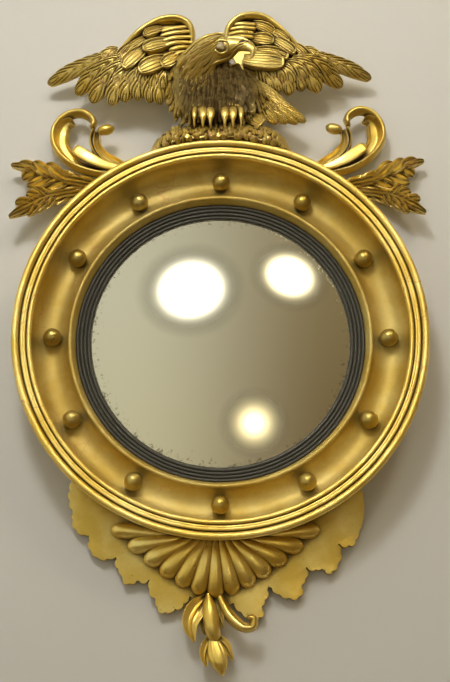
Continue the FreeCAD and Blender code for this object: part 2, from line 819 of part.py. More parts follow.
def right_upper_leaf():
    return leaf([(146, 228, 6, 8), (174, 241, 6, 6), (206, 243, 10, 6), (222, 247, 13, 9), (235, 252, 16, 18),
                 (245, 252, 17, 14), (256, 254, 19, 20), (266, 260, 20, 14), (275, 264, 21, 14),
                 (284, 269, 22, 8), (293, 274, 23, 0)], [right_scroll()])


def right_lower_leaf():
    return leaf([(204, 236, 6, 5), (222, 229, 8, 5), (236, 221, 12, 8), (250, 214, 18, 12),
                 (261, 208, 23, 18), (268, 204, 27, 20), (275, 201, 30, 13), (283, 196, 34, 13),
                 (290, 188, 37, 8), (295, 177, 39, 0)], [right_upper_leaf(), right_twig()])


def twig(side, start, end, others):
    """Leafy twig that follows the ring's side; angles in degrees from the top."""
    widths = (6, 10.5, 7, 11, 7, 10.5, 6, 8, 3, 0)
    stations = []
    for k, width in enumerate(widths):
        place = around(side * (start + (end - start) * k / (len(widths) - 1)), drawn_radius, 0)
        stations.append((place.x, place.z, 20, width))
    return leaf(stations, others)


def left_twig():
    return twig(-1, 40, 65, [left_upper_leaf()])


def right_twig():
    return twig(1, 40, 63, [right_upper_leaf()])


# ---- apron -------------------------------------------------------------------------------------------------------
# ends and middles of the scallops, in turn, from the ring's left to its right
SCALLOPS = [
    (-182, -170), (-203, -214), (-196, -237), (-193, -257), (-173, -265), (-166, -292), (-138, -293),
    (-136, -308), (-129, -317), (-124, -328), (-110, -324), (-101, -327), (-92, -324), (-93, -338),
    (-83, -350), (-79, -364), (-64, -364), (-51, -359), (-40, -345), (-33, -349), (-26, -345),
    (-24, -358), (-22, -370), (-14, -374), (-8, -370), (-4, -358), (2, -350), (9, -354), (16, -353),
    (30, -368), (44, -375), (54, -371), (54, -357), (62, -345), (62, -329), (78, -343), (95, -348),
    (107, -342), (107, -329), (114, -320), (114, -307), (124, -311), (134, -307), (146, -314),
    (154, -305), (160, -292), (156, -276), (172, -279), (183, -265), (192, -218), (176, -168),
]


def apron_board():
    """Flat scalloped board behind the shell, scribed to the ring."""
    outline = []
    for k in range(0, len(SCALLOPS) - 2, 2):
        scallop = Part.Arc(*[drawn(*SCALLOPS[k + n], apron_back) for n in range(3)]).toShape()
        outline += scallop.discretize(scallop_chords + 1)[:-1]
    outline.append(drawn(*SCALLOPS[-1], apron_back))
    board = flat(outline).extrude(Vector(0, -apron_thickness, 0))
    return board.cut([ring_envelope()] + apron_nails())


def shell_point(k):
    """Tip of rib k of the shell, or a notch between ribs for a half value."""
    dx = shell_half_span * (2 * k / (shell_ribs - 1) - 1)
    return shell_centre_x + dx, shell_bottom + shell_drop * (abs(dx) / shell_half_span) ** 1.6


def apron_shell():
    """Gadrooned shell: ribs that spread from under the ring, highest in the middle."""
    base_d = apron_back + apron_thickness + seat
    root_radius = ring_side_radius(base_d + 24) + fit
    valleys = []
    for n in range(shell_ribs + 1):
        x, z = shell_point(n - 0.5)
        root_x = (shell_centre_x + (x - shell_centre_x) * 0.3) * growth
        root_z = -math.sqrt(root_radius ** 2 - root_x ** 2)
        valleys.append((at(root_x, root_z, base_d + shell_rise(n - 0.5) + 8),
                        drawn(x, z + shell_notch, base_d + 4)))
    tips = [drawn(*shell_point(k), base_d + 5) for k in range(shell_ribs)]
    return fan(valleys, tips, shell_relief, 0, True, base_d)


def shell_rise(k):
    middle = (shell_ribs - 1) / 2
    return 12 * (1 - (abs(k - middle) / (middle + 1)) ** 2)


def petals(lists, others):
    base_d = apron_back + apron_thickness + seat
    rows = []
    for points, widths, heights in lists:
        path = [drawn(x, z, base_d + lift) for x, z, lift in points]
        rows.append(strip(path, widths, heights, RIDGED, 6))
    return joined(rows).cut(others)


def upper_husk():
    cuts = [apron_board(), apron_shell(), apron_tendril()]
    return petals([
        ([(-20, -344, 0), (-32, -366, 3), (-38, -384, 8), (-33, -404, 12)], [3, 9, 7, 0], [14, 15, 10, 6]),
        ([(-14, -344, 0), (-13, -366, 6), (-11, -386, 9), (-8, -404, 10)], [4, 8, 9, 4], [18, 18, 15, 9]),
        ([(-10, -344, 0), (-4, -366, 2), (0, -376, 6), (4, -388, 9)], [3, 5, 5, 0], [14, 14, 10, 6]),
    ], cuts)


def lower_husk():
    return petals([
        ([(-9, -398, 6), (-13, -412, 7), (-16, -424, 8), (-16, -436, 9)], [4, 6, 5, 0], [9, 11, 9, 5]),
        ([(-8, -398, 6), (-5, -412, 9), (1, -428, 10), (6, -444, 10)], [5, 7, 9, 0], [10, 12, 11, 5]),
        ([(-5, -398, 6), (3, -408, 7), (10, -416, 8), (17, -426, 9)], [4, 4, 4, 0], [9, 9, 8, 5]),
    ], [upper_husk()])


def apron_tendril():
    """Tendril that curls to the viewer's right."""
    base_d = apron_back + apron_thickness + seat
    path = [(-2, -340, 2), (6, -356, 4), (16, -374, 9), (31, -385, 15), (44, -381, 19), (40, -373, 21)]
    body = strip([drawn(x, z, base_d + lift) for x, z, lift in path], [6, 6.5, 7, 7, 6, 4],
                 [12, 12, 12, 12, 11, 8], HALF_ROUND, 10)
    return body.cut([apron_board(), apron_shell()])


def apron_nails():
    """Cut nails, driven through the apron's upper edge into the ring's side."""
    nails = []
    for angle in (-142, -161, 161, 142):
        outward = around(angle, 1, 0)
        start = around(angle, ring_back_radius - 14, apron_back + apron_thickness / 2)
        nails.append(square_nail(start, outward, 2.4, 26))
    return nails


# ---- the assembly --------------------------------------------------------------------------------------------------
NODES = {
    "frame_ring": lambda: frame_ring().cut(apron_nails()),
    "cove_balls": cove_balls,
    "slip_ring": slip_ring,
    "mirror_glass": mirror_glass,
    "glass_blocks": glass_blocks,
    "backboard": backboard,
    "backboard_brads": backboard_brads,
    "hanging_plate": hanging_plate,
    "hanging_pin": hanging_pin,
    "hanging_ring": hanging_ring,
    "hanging_screws": lambda: group(plate_screws()),
    "crest_pegs": lambda: group(crest_pegs()),
    "crest_rock": crest_rock,
    "eagle_body": eagle_body,
    "eagle_head": eagle_head,
    "eagle_tail": eagle_tail,
    "left_wing": left_wing,
    "right_wing": right_wing,
    "left_foot": left_foot,
    "right_foot": right_foot,
    "left_scroll": left_scroll,
    "right_scroll": right_scroll,
    "left_stem": left_stem,
    "right_stem": right_stem,
    "left_button": left_button,
    "right_button": right_button,
    "left_tongue": left_tongue,
    "right_tongue": right_tongue,
    "left_upper_leaf": left_upper_leaf,
    "right_upper_leaf": right_upper_leaf,
    "left_lower_leaf": left_lower_leaf,
    "right_lower_leaf": right_lower_leaf,
    "left_twig": left_twig,
    "right_twig": right_twig,
    "apron_board": apron_board,
    "apron_nails": lambda: group(apron_nails()),
    "apron_shell": apron_shell,
    "apron_tendril": apron_tendril,
    "upper_husk": upper_husk,
    "lower_husk": lower_husk,
}

os.makedirs("parts", exist_ok=True)
for name, make in NODES.items():
    shape = make()
    sizes = ", ".join(f"{s.Volume / 1000:.1f}" for s in shape.Solids)
    print(f"{name}: {len(shape.Solids)} solid, valid {shape.isValid()}, cm3 {sizes}")
    shape.exportStep(f"parts/{name}.step")
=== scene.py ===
"""Round convex mirror in a gilded frame, with its eagle crest, scrolls, leaves and shell apron.

Lengths are in millimetres: x to the viewer's right, z up, and d the depth in front of the wall.
"""

import bisect
import math
import random

import bmesh
import bpy
from mathutils import Matrix, Vector
from mathutils.bvhtree import BVHTree
from mathutils.noise import noise


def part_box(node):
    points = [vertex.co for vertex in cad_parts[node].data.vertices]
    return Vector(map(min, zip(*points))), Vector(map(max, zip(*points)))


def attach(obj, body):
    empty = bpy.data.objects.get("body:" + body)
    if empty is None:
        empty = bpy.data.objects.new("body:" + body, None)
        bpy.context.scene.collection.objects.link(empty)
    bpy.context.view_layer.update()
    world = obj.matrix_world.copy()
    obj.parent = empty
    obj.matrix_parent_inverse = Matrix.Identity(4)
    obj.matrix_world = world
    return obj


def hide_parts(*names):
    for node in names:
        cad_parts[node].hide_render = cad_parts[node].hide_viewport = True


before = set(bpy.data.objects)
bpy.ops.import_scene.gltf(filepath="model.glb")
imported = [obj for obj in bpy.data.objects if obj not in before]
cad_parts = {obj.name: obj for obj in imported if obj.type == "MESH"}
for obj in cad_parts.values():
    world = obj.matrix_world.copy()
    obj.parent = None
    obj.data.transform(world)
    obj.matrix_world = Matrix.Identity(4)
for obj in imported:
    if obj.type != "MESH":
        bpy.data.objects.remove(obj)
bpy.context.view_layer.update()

bl_info = {
    "name": "Convex eagle mirror",
    "version": (1, 0, 0),
    "blender": (4, 5, 0),
    "location": "3D View > Sidebar > Mirror",
    "description": "Builds a gilded round convex mirror with a carved eagle, scrolls, leaves and apron",
    "category": "Object",
}

MM = 0.001
ROOT = "mirror"      # the body that every piece but the hanging loop rides on


# ---- sizes and colours a user would change ---------------------------------------------------------
class MirrorSizes(bpy.types.PropertyGroup):
    ring_radius: bpy.props.FloatProperty(
        name="Ring radius", description="Outside of the turned ring", default=0.280, unit="LENGTH")
    ball_radius: bpy.props.FloatProperty(
        name="Ball radius", description="Turned balls in the hollow", default=0.0125, unit="LENGTH")
    ball_count: bpy.props.IntProperty(
        name="Balls", description="How many balls stand in the hollow", default=12)
    glass_curve: bpy.props.FloatProperty(
        name="Glass curve", description="Radius the glass is bent to", default=0.600, unit="LENGTH")
    shell_ribs: bpy.props.IntProperty(
        name="Shell ribs", description="Gadroons of the apron's shell", default=13)


class MirrorColours(bpy.types.PropertyGroup):
    leaf: bpy.props.FloatVectorProperty(
        name="Gold leaf", description="Colour of sound gold leaf", subtype="COLOR",
        default=(0.74, 0.52, 0.105), min=0, max=1)
    rubbed: bpy.props.FloatVectorProperty(
        name="Rubbed leaf", description="Pale gold on high places", subtype="COLOR",
        default=(0.90, 0.72, 0.25), min=0, max=1)
    bole: bpy.props.FloatVectorProperty(
        name="Red bole", description="Clay that shows where the leaf is worn", subtype="COLOR",
        default=(0.46, 0.17, 0.09), min=0, max=1)
    # Dark brown for real grime and dust flecks, and also for painted shade in the hollows and the painted
    # shadow on the eagle's breast.
    grime: bpy.props.FloatVectorProperty(
        name="Grime", description="Old toning that lies in the hollows", subtype="COLOR",
        default=(0.050, 0.021, 0.004), min=0, max=1)
    ebony: bpy.props.FloatVectorProperty(
        name="Ebonised wood", description="Black of the slip", subtype="COLOR",
        default=(0.050, 0.047, 0.036), min=0, max=1)
    silver: bpy.props.FloatVectorProperty(
        name="Old silvering", description="Tint of the mirror", subtype="COLOR",
        default=(0.80, 0.77, 0.60), min=0, max=1)
    pine: bpy.props.FloatVectorProperty(
        name="Bare pine", description="Darkened pine of the back", subtype="COLOR",
        default=(0.30, 0.17, 0.075), min=0, max=1)
    iron: bpy.props.FloatVectorProperty(
        name="Iron", description="Wrought iron of the hanger", subtype="COLOR",
        default=(0.055, 0.045, 0.038), min=0, max=1)


def sizes():
    return bpy.context.scene.mirror_sizes


def colours():
    return bpy.context.scene.mirror_colours


# ---- points and curves -----------------------------------------------------------------------------
def at(x, z, d):
    return Vector((x * MM, -d * MM, z * MM))


def lerp(a, b, t):
    return a + (b - a) * t


def ease(edge0, edge1, x):
    t = max(0.0, min(1.0, (x - edge0) / (edge1 - edge0)))
    return t * t * (3 - 2 * t)


def read(values, t):
    """Value at t from 0 to 1 along a list, with smooth turns between its numbers."""
    place = max(0.0, min(1.0, t)) * (len(values) - 1)
    k = min(int(place), len(values) - 2)
    u = place - k
    p = [values[max(0, min(len(values) - 1, k + n))] for n in (-1, 0, 1, 2)]
    return 0.5 * (2 * p[1] + (p[2] - p[0]) * u + (2 * p[0] - 5 * p[1] + 4 * p[2] - p[3]) * u * u
                  + (3 * p[1] - p[0] - 3 * p[2] + p[3]) * u ** 3)


def arc(centre_r, centre_d, radius, start, end, steps):
    turns = [math.radians(start + (end - start) * k / steps) for k in range(steps + 1)]
    return [(centre_r + radius * math.cos(a), centre_d + radius * math.sin(a)) for a in turns]


# ---- carving: one piece gathers many closed strips and forms ---------------------------------------
class Carving:
    def __init__(self):
        self.points, self.faces = [], []

    def tube(self, rings, closed=False):
        """Skin over rings of equal length, capped at both ends unless it closes on itself."""
        base, n = len(self.points), len(rings[0])
        for ring in rings:
            self.points.extend(ring)
        count = len(rings)
        for r in range(count if closed else count - 1):
            low, high = base + r * n, base + ((r + 1) % count) * n
            for k in range(n):
                j = (k + 1) % n
                self.faces.append((low + k, low + j, high + j, high + k))
        if not closed:
            self.faces.append(tuple(base + k for k in reversed(range(n))))
            self.faces.append(tuple(base + (count - 1) * n + k for k in range(n)))

    def piece(self, name, material, body=ROOT, smooth=45, nodes=(), slot=None, level=0):
        mesh = bpy.data.meshes.new(name)
        mesh.from_pydata([tuple(p) for p in self.points], [], self.faces)
        work = bmesh.new()
        work.from_mesh(mesh)
        bmesh.ops.remove_doubles(work, verts=work.verts, dist=1e-6)
        bmesh.ops.dissolve_degenerate(work, edges=work.edges, dist=1e-6)
        bmesh.ops.recalc_face_normals(work, faces=work.faces)
        work.to_mesh(mesh)
        work.free()
        mesh.shade_smooth()
        mesh.set_sharp_from_angle(angle=math.radians(smooth))
        piece = bpy.data.objects.new(name, mesh)
        bpy.context.collection.objects.link(piece)
        mesh.materials.append(material)
        if level:
            piece.modifiers.new("Rounding", "SUBSURF").levels = level
            piece.modifiers["Rounding"].render_levels = level
        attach(piece, body)
        if nodes:
            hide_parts(*nodes)
        return piece


def side_of(heading, out):
    side = heading.cross(out)
    return side.normalized() if side.length > 1e-6 else Vector((1, 0, 0))


class Path:
    """Smooth curve through points in mm, read by the share of its length."""
    def __init__(self, points):
        knots = [at(*p) for p in points]
        self.fine = [read(knots, k / 240) for k in range(241)]
        self.run = [0.0]
        for a, b in zip(self.fine, self.fine[1:]):
            self.run.append(self.run[-1] + (b - a).length)
        self.length = self.run[-1]

    def place(self, t):
        want = max(0.0, min(1.0, t)) * self.length
        k = min(bisect.bisect_right(self.run, want), 240) - 1
        k = max(0, min(k, 239))
        span = self.run[k + 1] - self.run[k]
        return self.fine[k].lerp(self.fine[k + 1], (want - self.run[k]) / span if span else 0)

    def heading(self, t):
        return (self.place(t + 0.01) - self.place(t - 0.01)).normalized()


def strip(carving, points, widths, relief, section, count=48, across=14, base=5.0, lean=0.0,
          out=Vector((0, -1, 0)), tip=0.0):
    """Carved strip along a path: half widths and relief in mm, section(u, t, length) from 0 to 1 or so.

    base is how thick it is behind the path, lean tips one side forward for feathers that overlap,
    and tip rounds the end over that length in mm.
    """
    path = Path(points)
    rings = []
    for n in range(count + 1):
        t = 1 - (1 - n / count) ** 1.5
        place, heading = path.place(t), path.heading(t)
        side = side_of(heading, out)
        face = side.cross(heading).normalized()
        if face.dot(out) < 0:
            face = -face
        width, rise = read(widths, t), read(relief, t)
        left = (1 - t) * path.length / MM
        if left < tip:
            turn = math.sqrt(max(0.0, 1 - (1 - left / tip) ** 2))
            width, rise = width * turn, rise * (0.35 + 0.65 * turn)
        width = max(0.12, width) * MM
        ring = []
        for k in range(across + 1):
            u = math.sin(math.pi / 2 * (2 * k / across - 1))
            ring.append(place + side * (u * width)
                        + face * (rise * MM * section(u, t, path.length / MM) + lean * u * width))
        for u in (0.9, 0.0, -0.9):
            ring.append(place + side * (u * width) + face * (-base * MM + lean * u * width))
        rings.append(ring)
    carving.tube(rings)


def surface(*carvings):
    """Tree of the faces carved so far, to lay feathers on."""
    points, faces = [], []
    for carving in carvings:
        faces += [tuple(len(points) + k for k in face) for face in carving.faces]
        points += carving.points
    return BVHTree.FromPolygons(points, faces)


def laid(tree, places, lift, fallback=70.0):
    """Gives each (x, z) the depth of the surface there plus a lift in mm."""
    path = []
    for n, (x, z) in enumerate(places):
        hit = tree.ray_cast(at(x, z, 300), Vector((0, 1, 0)))[0]
        depth = -hit.y / MM if hit else (path[-1][2] if path else fallback)
        rise = lift[min(n, len(lift) - 1)] if isinstance(lift, (list, tuple)) else lift
        path.append((x, z, depth + rise))
    return path


def form(carving, stations, sides=28, steps=6, shape=None, out=Vector((0, -1, 0))):
    """Round form through (x, z, d, half height, half depth) stations, smooth along and around."""
    count = (len(stations) - 1) * steps
    centres = [read([at(*s[:3]) for s in stations], k / count) for k in range(count + 1)]
    rings = []
    for k, centre in enumerate(centres):
        t = k / count
        heading = (centres[min(k + 1, count)] - centres[max(k - 1, 0)]).normalized()
        side = side_of(heading, out)
        face = side.cross(heading).normalized()
        wide = max(0.1, read([s[3] for s in stations], t)) * MM
        deep = max(0.1, read([s[4] for s in stations], t)) * MM
        ring = []
        for n in range(sides):
            a = 2 * math.pi * n / sides
            swell = 1 + (shape(a, t) if shape else 0)
            ring.append(centre + side * (wide * swell * math.cos(a)) + face * (deep * swell * math.sin(a)))
        rings.append(ring)
    carving.tube(rings)


def turned(carving, profile, segments=240, wobble=0.0):
    """Closed (radius, depth) profile turned about the ring's axis."""
    rings = []
    for k in range(segments):
        a = 2 * math.pi * k / segments
        ring = []
        for r, d in profile:
            here = at(r * math.sin(a), r * math.cos(a), d)
            if wobble:
                push = wobble * noise(here * 35) * MM
                here += Vector((0, -push, 0)) + Vector((here.x, 0, here.z)).normalized() * push
            ring.append(here)
        rings.append(ring)
    carving.tube(rings, closed=True)


def around(degrees, radius, depth):
    a = math.radians(degrees)
    return at(radius * math.sin(a), radius * math.cos(a), depth)


# ---- sections: u across from -1 to 1, t along from 0 to 1, length in mm ------------------------------
def rolled(u, t, length):
    return math.sqrt(max(0.0, 1 - u * u))


def feather(grooves=3.0, depth=0.30):
    """Vane with a raised quill and long grooves that run out to its edges."""
    def section(u, t, length):
        vane = 0.42 + 0.40 * (1 - abs(u) ** 2)
        quill = 0.34 * math.exp(-((u / 0.10) ** 2)) * (1 - 0.6 * t)
        phase = abs(u) * grooves - t * length / 15.0
        streak = depth * (abs(math.sin(math.pi * phase)) ** 0.7 * 2 - 1.2)
        return vane + quill + streak * ease(0.08, 0.22, abs(u)) * (1 - 0.4 * ease(0.9, 1.0, abs(u)))
    return section


def rimmed(lines=3, depth=0.36):
    """Rounded covert: a bright raised rim and long grooves that follow it."""
    def section(u, t, length):
        rim = max(ease(0.76, 0.86, abs(u)), ease(0.90, 0.96, t))
        edge = 1 - ease(0.93, 1.0, abs(u)) * 0.5
        groove = 0.5 + 0.5 * math.cos(2 * math.pi * u * (lines + 0.5) / 1.6)
        return lerp(0.14 + depth * groove, 1.0, rim) * edge
    return section


def curled(u, t, length):
    """Leaf lobe: a raised rib in the middle and rolled edges."""
    return (0.52 + 0.38 * math.cos(2 * math.pi * u)) * (1 - 0.55 * ease(0.88, 1.0, abs(u)))


def trough(u, t, length):
    """Smooth dish of a scroll with a sharp lip on its inner side and a fine line on its outer side."""
    dish = 0.30 + 0.55 * ease(0.1, 0.92, u) ** 1.5
    line = 0.45 * math.exp(-(((u + 0.72) / 0.10) ** 2))
    return (dish + line) * (1 - 0.5 * ease(0.94, 1.0, abs(u)))


def fluted(edge=0.82):
    def section(u, t, length):
        dish = 0.35 + 0.20 * abs(u)
        rim = ease(edge - 0.16, edge, abs(u)) * (1 - ease(0.95, 1.0, abs(u)) * 0.7)
        return dish + 0.5 * rim
    return section


def gadroon(u, t, length):
    return (max(0.0, 1 - abs(u) ** 2.2)) ** 0.7


def ridge(u, t, length):
    return (1 - abs(u)) ** 0.8 * 0.8 + 0.2 * (1 - u * u)


def lobed_leaf(veins=5, depth=0.2):
    """Leaf with a raised midrib, hollow sides and slanting veins."""
    def section(u, t, length):
        midrib = 0.55 * math.exp(-((u / 0.12) ** 2))
        hollow = 0.28 + 0.55 * abs(u) ** 1.6 * (1 - 0.5 * ease(0.88, 1.0, abs(u)))
        vein = depth * math.cos(2 * math.pi * (t * veins - abs(u) * 0.9)) * ease(0.1, 0.5, abs(u))
        return hollow + midrib + vein
    return section


# ---- shader node groups ------------------------------------------------------------------------------
def put(tree, kind, **settings):
    node = tree.nodes.new(kind)
    for key, value in settings.items():
        setattr(node, key, value)
    return node


def feed(tree, socket, source):
    if isinstance(source, bpy.types.NodeSocket):
        tree.links.new(source, socket)
    else:
        socket.default_value = source


def maths(tree, operation, a, b=None, clamp=False):
    node = put(tree, "ShaderNodeMath", operation=operation, use_clamp=clamp)
    feed(tree, node.inputs[0], a)
    if b is not None:
        feed(tree, node.inputs[1], b)
    return node.outputs[0]


def mixed(tree, factor, a, b):
    node = put(tree, "ShaderNodeMix", data_type="RGBA")
    feed(tree, node.inputs["Factor"], factor)
    feed(tree, node.inputs[6], a)
    feed(tree, node.inputs[7], b)
    return node.outputs[2]


def ranged(tree, value, low, high, out_low=0.0, out_high=1.0):
    node = put(tree, "ShaderNodeMapRange", interpolation_type="SMOOTHSTEP")
    feed(tree, node.inputs["Value"], value)
    for name, number in (("From Min", low), ("From Max", high), ("To Min", out_low), ("To Max", out_high)):
        feed(tree, node.inputs[name], number)
    return node.outputs["Result"]


def speckle(tree, place, scale, detail=4.0, rough=0.6):
    node = put(tree, "ShaderNodeTexNoise")
    feed(tree, node.inputs["Vector"], place)
    feed(tree, node.inputs["Scale"], scale)
    feed(tree, node.inputs["Detail"], detail)
    feed(tree, node.inputs["Roughness"], rough)
    return node.outputs["Fac"]


GROUPS = {}


def new_group(name, inputs, outputs):
    tree = bpy.data.node_groups.new(name, "ShaderNodeTree")
    for label, kind, default in inputs:
        socket = tree.interface.new_socket(label, in_out="INPUT", socket_type="NodeSocket" + kind)
        socket.default_value = default
    for label, kind in outputs:
        tree.interface.new_socket(label, in_out="OUTPUT", socket_type="NodeSocket" + kind)
    return tree, put(tree, "NodeGroupInput").outputs, put(tree, "NodeGroupOutput").inputs


def old_leaf_group():
    """Gold leaf over red bole: rubbed pale on high places, worn to the clay, toned in the hollows."""
    tree, got, out = new_group("Old leaf", [
        ("Leaf", "Color", (0.8, 0.5, 0.15, 1)), ("Rubbed", "Color", (0.9, 0.7, 0.3, 1)),
        ("Bole", "Color", (0.45, 0.17, 0.1, 1)), ("Grime", "Color", (0.08, 0.03, 0.01, 1)),
        ("Wear", "Float", 0.3), ("Toning", "Float", 0.6), ("Reach", "Float", 0.012),
        ("Patch", "Float", 0.0), ("Dull", "Float", 0.0),
    ], [("Color", "Color"), ("Roughness", "Float"), ("Metallic", "Float"), ("Height", "Float")])
    where = put(tree, "ShaderNodeTexCoord").outputs["Object"]
    cloud = speckle(tree, where, 14.0, 5.0, 0.62)
    fine = speckle(tree, where, 160.0, 5.0, 0.65)
    dust = speckle(tree, where, 620.0, 3.0, 0.7)
    # Painted shade in the hollows: ambient occlusion within the reach darkens the leaf towards the dark brown
    # and takes away its metal, with some real grime there too.
    hollow = put(tree, "ShaderNodeAmbientOcclusion", samples=10)
    feed(tree, hollow.inputs["Distance"], got["Reach"])
    crest = put(tree, "ShaderNodeAmbientOcclusion", samples=8, inside=True)
    feed(tree, crest.inputs["Distance"], 0.0030)
    shadow = maths(tree, "SUBTRACT", 1.0, hollow.outputs["AO"])
    sunk = ranged(tree, maths(tree, "ADD", shadow, maths(tree, "MULTIPLY", fine, 0.12)), 0.14, 0.72)
    sunk = maths(tree, "MULTIPLY", sunk, got["Toning"])
    # Painted shade and painted shadow fed in from outside: the spot on the eagle's breast and the deep part
    # of the ring's hollow.
    sunk = maths(tree, "MAXIMUM", sunk, maths(tree, "MULTIPLY", got["Patch"], 0.97))
    high = ranged(tree, crest.outputs["AO"], 0.60, 0.20)
    high = maths(tree, "MULTIPLY", high, ranged(tree, fine, 0.35, 0.6))
    sunk = maths(tree, "SUBTRACT", sunk, maths(tree, "MULTIPLY", high, 0.30), clamp=True)
    tone = mixed(tree, ranged(tree, cloud, 0.35, 0.7), got["Leaf"], got["Rubbed"])
    tone = mixed(tree, maths(tree, "MULTIPLY", high, 0.8), tone, got["Rubbed"])
    worn = maths(tree, "ADD", maths(tree, "MULTIPLY", high, 0.55), maths(tree, "MULTIPLY", fine, 0.55))
    worn = maths(tree, "ADD", worn, maths(tree, "MULTIPLY", cloud, 0.35))
    worn = ranged(tree, maths(tree, "ADD", worn, got["Wear"]), 1.02, 1.22)
    tone = mixed(tree, maths(tree, "MULTIPLY", worn, 0.6), tone, got["Bole"])
    fleck = ranged(tree, dust, 0.66, 0.76)
    tone = mixed(tree, maths(tree, "MULTIPLY", fleck, 0.45), tone, got["Grime"])
    tone = mixed(tree, sunk, tone, got["Grime"])
    rough = maths(tree, "ADD", ranged(tree, fine, 0.3, 0.7, 0.27, 0.42), maths(tree, "MULTIPLY", sunk, 0.25))
    rough = maths(tree, "ADD", rough, maths(tree, "MULTIPLY", worn, 0.25))
    rough = maths(tree, "ADD", rough, got["Dull"])
    metal = maths(tree, "SUBTRACT", 0.92, maths(tree, "MULTIPLY", maths(tree, "MAXIMUM", sunk, worn), 0.6))
    height = maths(tree, "ADD", maths(tree, "MULTIPLY", fine, 0.7), maths(tree, "MULTIPLY", dust, 0.3))
    for name, value in (("Color", tone), ("Roughness", rough), ("Metallic", metal), ("Height", height)):
        feed(tree, out[name], value)
    return tree


def age_crack_group():
    """Fine cracks that cross the rim's band, some long and some short."""
    tree, got, out = new_group("Age cracks", [("Spacing", "Float", 30.0), ("Width", "Float", 0.03)],
                               [("Mask", "Float")])
    where = put(tree, "ShaderNodeTexCoord").outputs["Object"]
    cells = put(tree, "ShaderNodeTexVoronoi", feature="DISTANCE_TO_EDGE")
    bend = put(tree, "ShaderNodeTexNoise")
    feed(tree, bend.inputs["Vector"], where)
    feed(tree, bend.inputs["Scale"], 25.0)
    push = put(tree, "ShaderNodeMix", data_type="RGBA", blend_type="ADD")
    feed(tree, push.inputs["Factor"], 0.02)
    feed(tree, push.inputs[6], where)
    feed(tree, push.inputs[7], bend.outputs["Color"])
    feed(tree, cells.inputs["Vector"], push.outputs[2])
    feed(tree, cells.inputs["Scale"], got["Spacing"])
    line = ranged(tree, cells.outputs["Distance"], got["Width"], 0.0)
    here = ranged(tree, speckle(tree, where, 9.0, 2.0, 0.5), 0.50, 0.62)
    feed(tree, out["Mask"], maths(tree, "MULTIPLY", line, here))
    return tree


def plank_group():
    """Straight wood grain that runs along x, with darker late wood."""
    tree, got, out = new_group("Plank grain", [
        ("Wood", "Color", (0.3, 0.2, 0.1, 1)), ("Dark", "Color", (0.1, 0.05, 0.02, 1)),
        ("Rings", "Float", 60.0),
    ], [("Color", "Color"), ("Roughness", "Float"), ("Height", "Float")])
    where = put(tree, "ShaderNodeTexCoord").outputs["Object"]
    stretch = put(tree, "ShaderNodeMapping")
    stretch.inputs["Scale"].default_value = (0.12, 1.0, 1.0)
    feed(tree, stretch.inputs["Vector"], where)
    rings = speckle(tree, stretch.outputs["Vector"], got["Rings"], 6.0, 0.7)
    stains = speckle(tree, where, 8.0, 4.0, 0.6)
    tone = mixed(tree, ranged(tree, rings, 0.42, 0.68), got["Wood"], got["Dark"])
    tone = mixed(tree, ranged(tree, stains, 0.5, 0.8, 0.0, 0.6), tone, got["Dark"])
    feed(tree, out["Color"], tone)
    feed(tree, out["Roughness"], ranged(tree, rings, 0.3, 0.7, 0.62, 0.82))
    feed(tree, out["Height"], rings)
    return tree


def group_node(tree, name, build, **values):
    if name not in GROUPS:
        GROUPS[name] = build()
    node = put(tree, "ShaderNodeGroup", node_tree=GROUPS[name])
    for key, value in values.items():
        feed(tree, node.inputs[key], value)
    return node


def rgba(colour):
    return (*colour, 1.0)


MATERIALS = {}


def material(name, build, **settings):
    if name not in MATERIALS:
        made = bpy.data.materials.new(name)
        made.use_nodes = True
        tree = made.node_tree
        build(tree, tree.nodes["Principled BSDF"], **settings)
        MATERIALS[name] = made
    return MATERIALS[name]


def bump(tree, shader, height, strength, distance):
    node = put(tree, "ShaderNodeBump")
    feed(tree, node.inputs["Height"], height)
    feed(tree, node.inputs["Strength"], strength)
    feed(tree, node.inputs["Distance"], distance)
    feed(tree, shader.inputs["Normal"], node.outputs["Normal"])


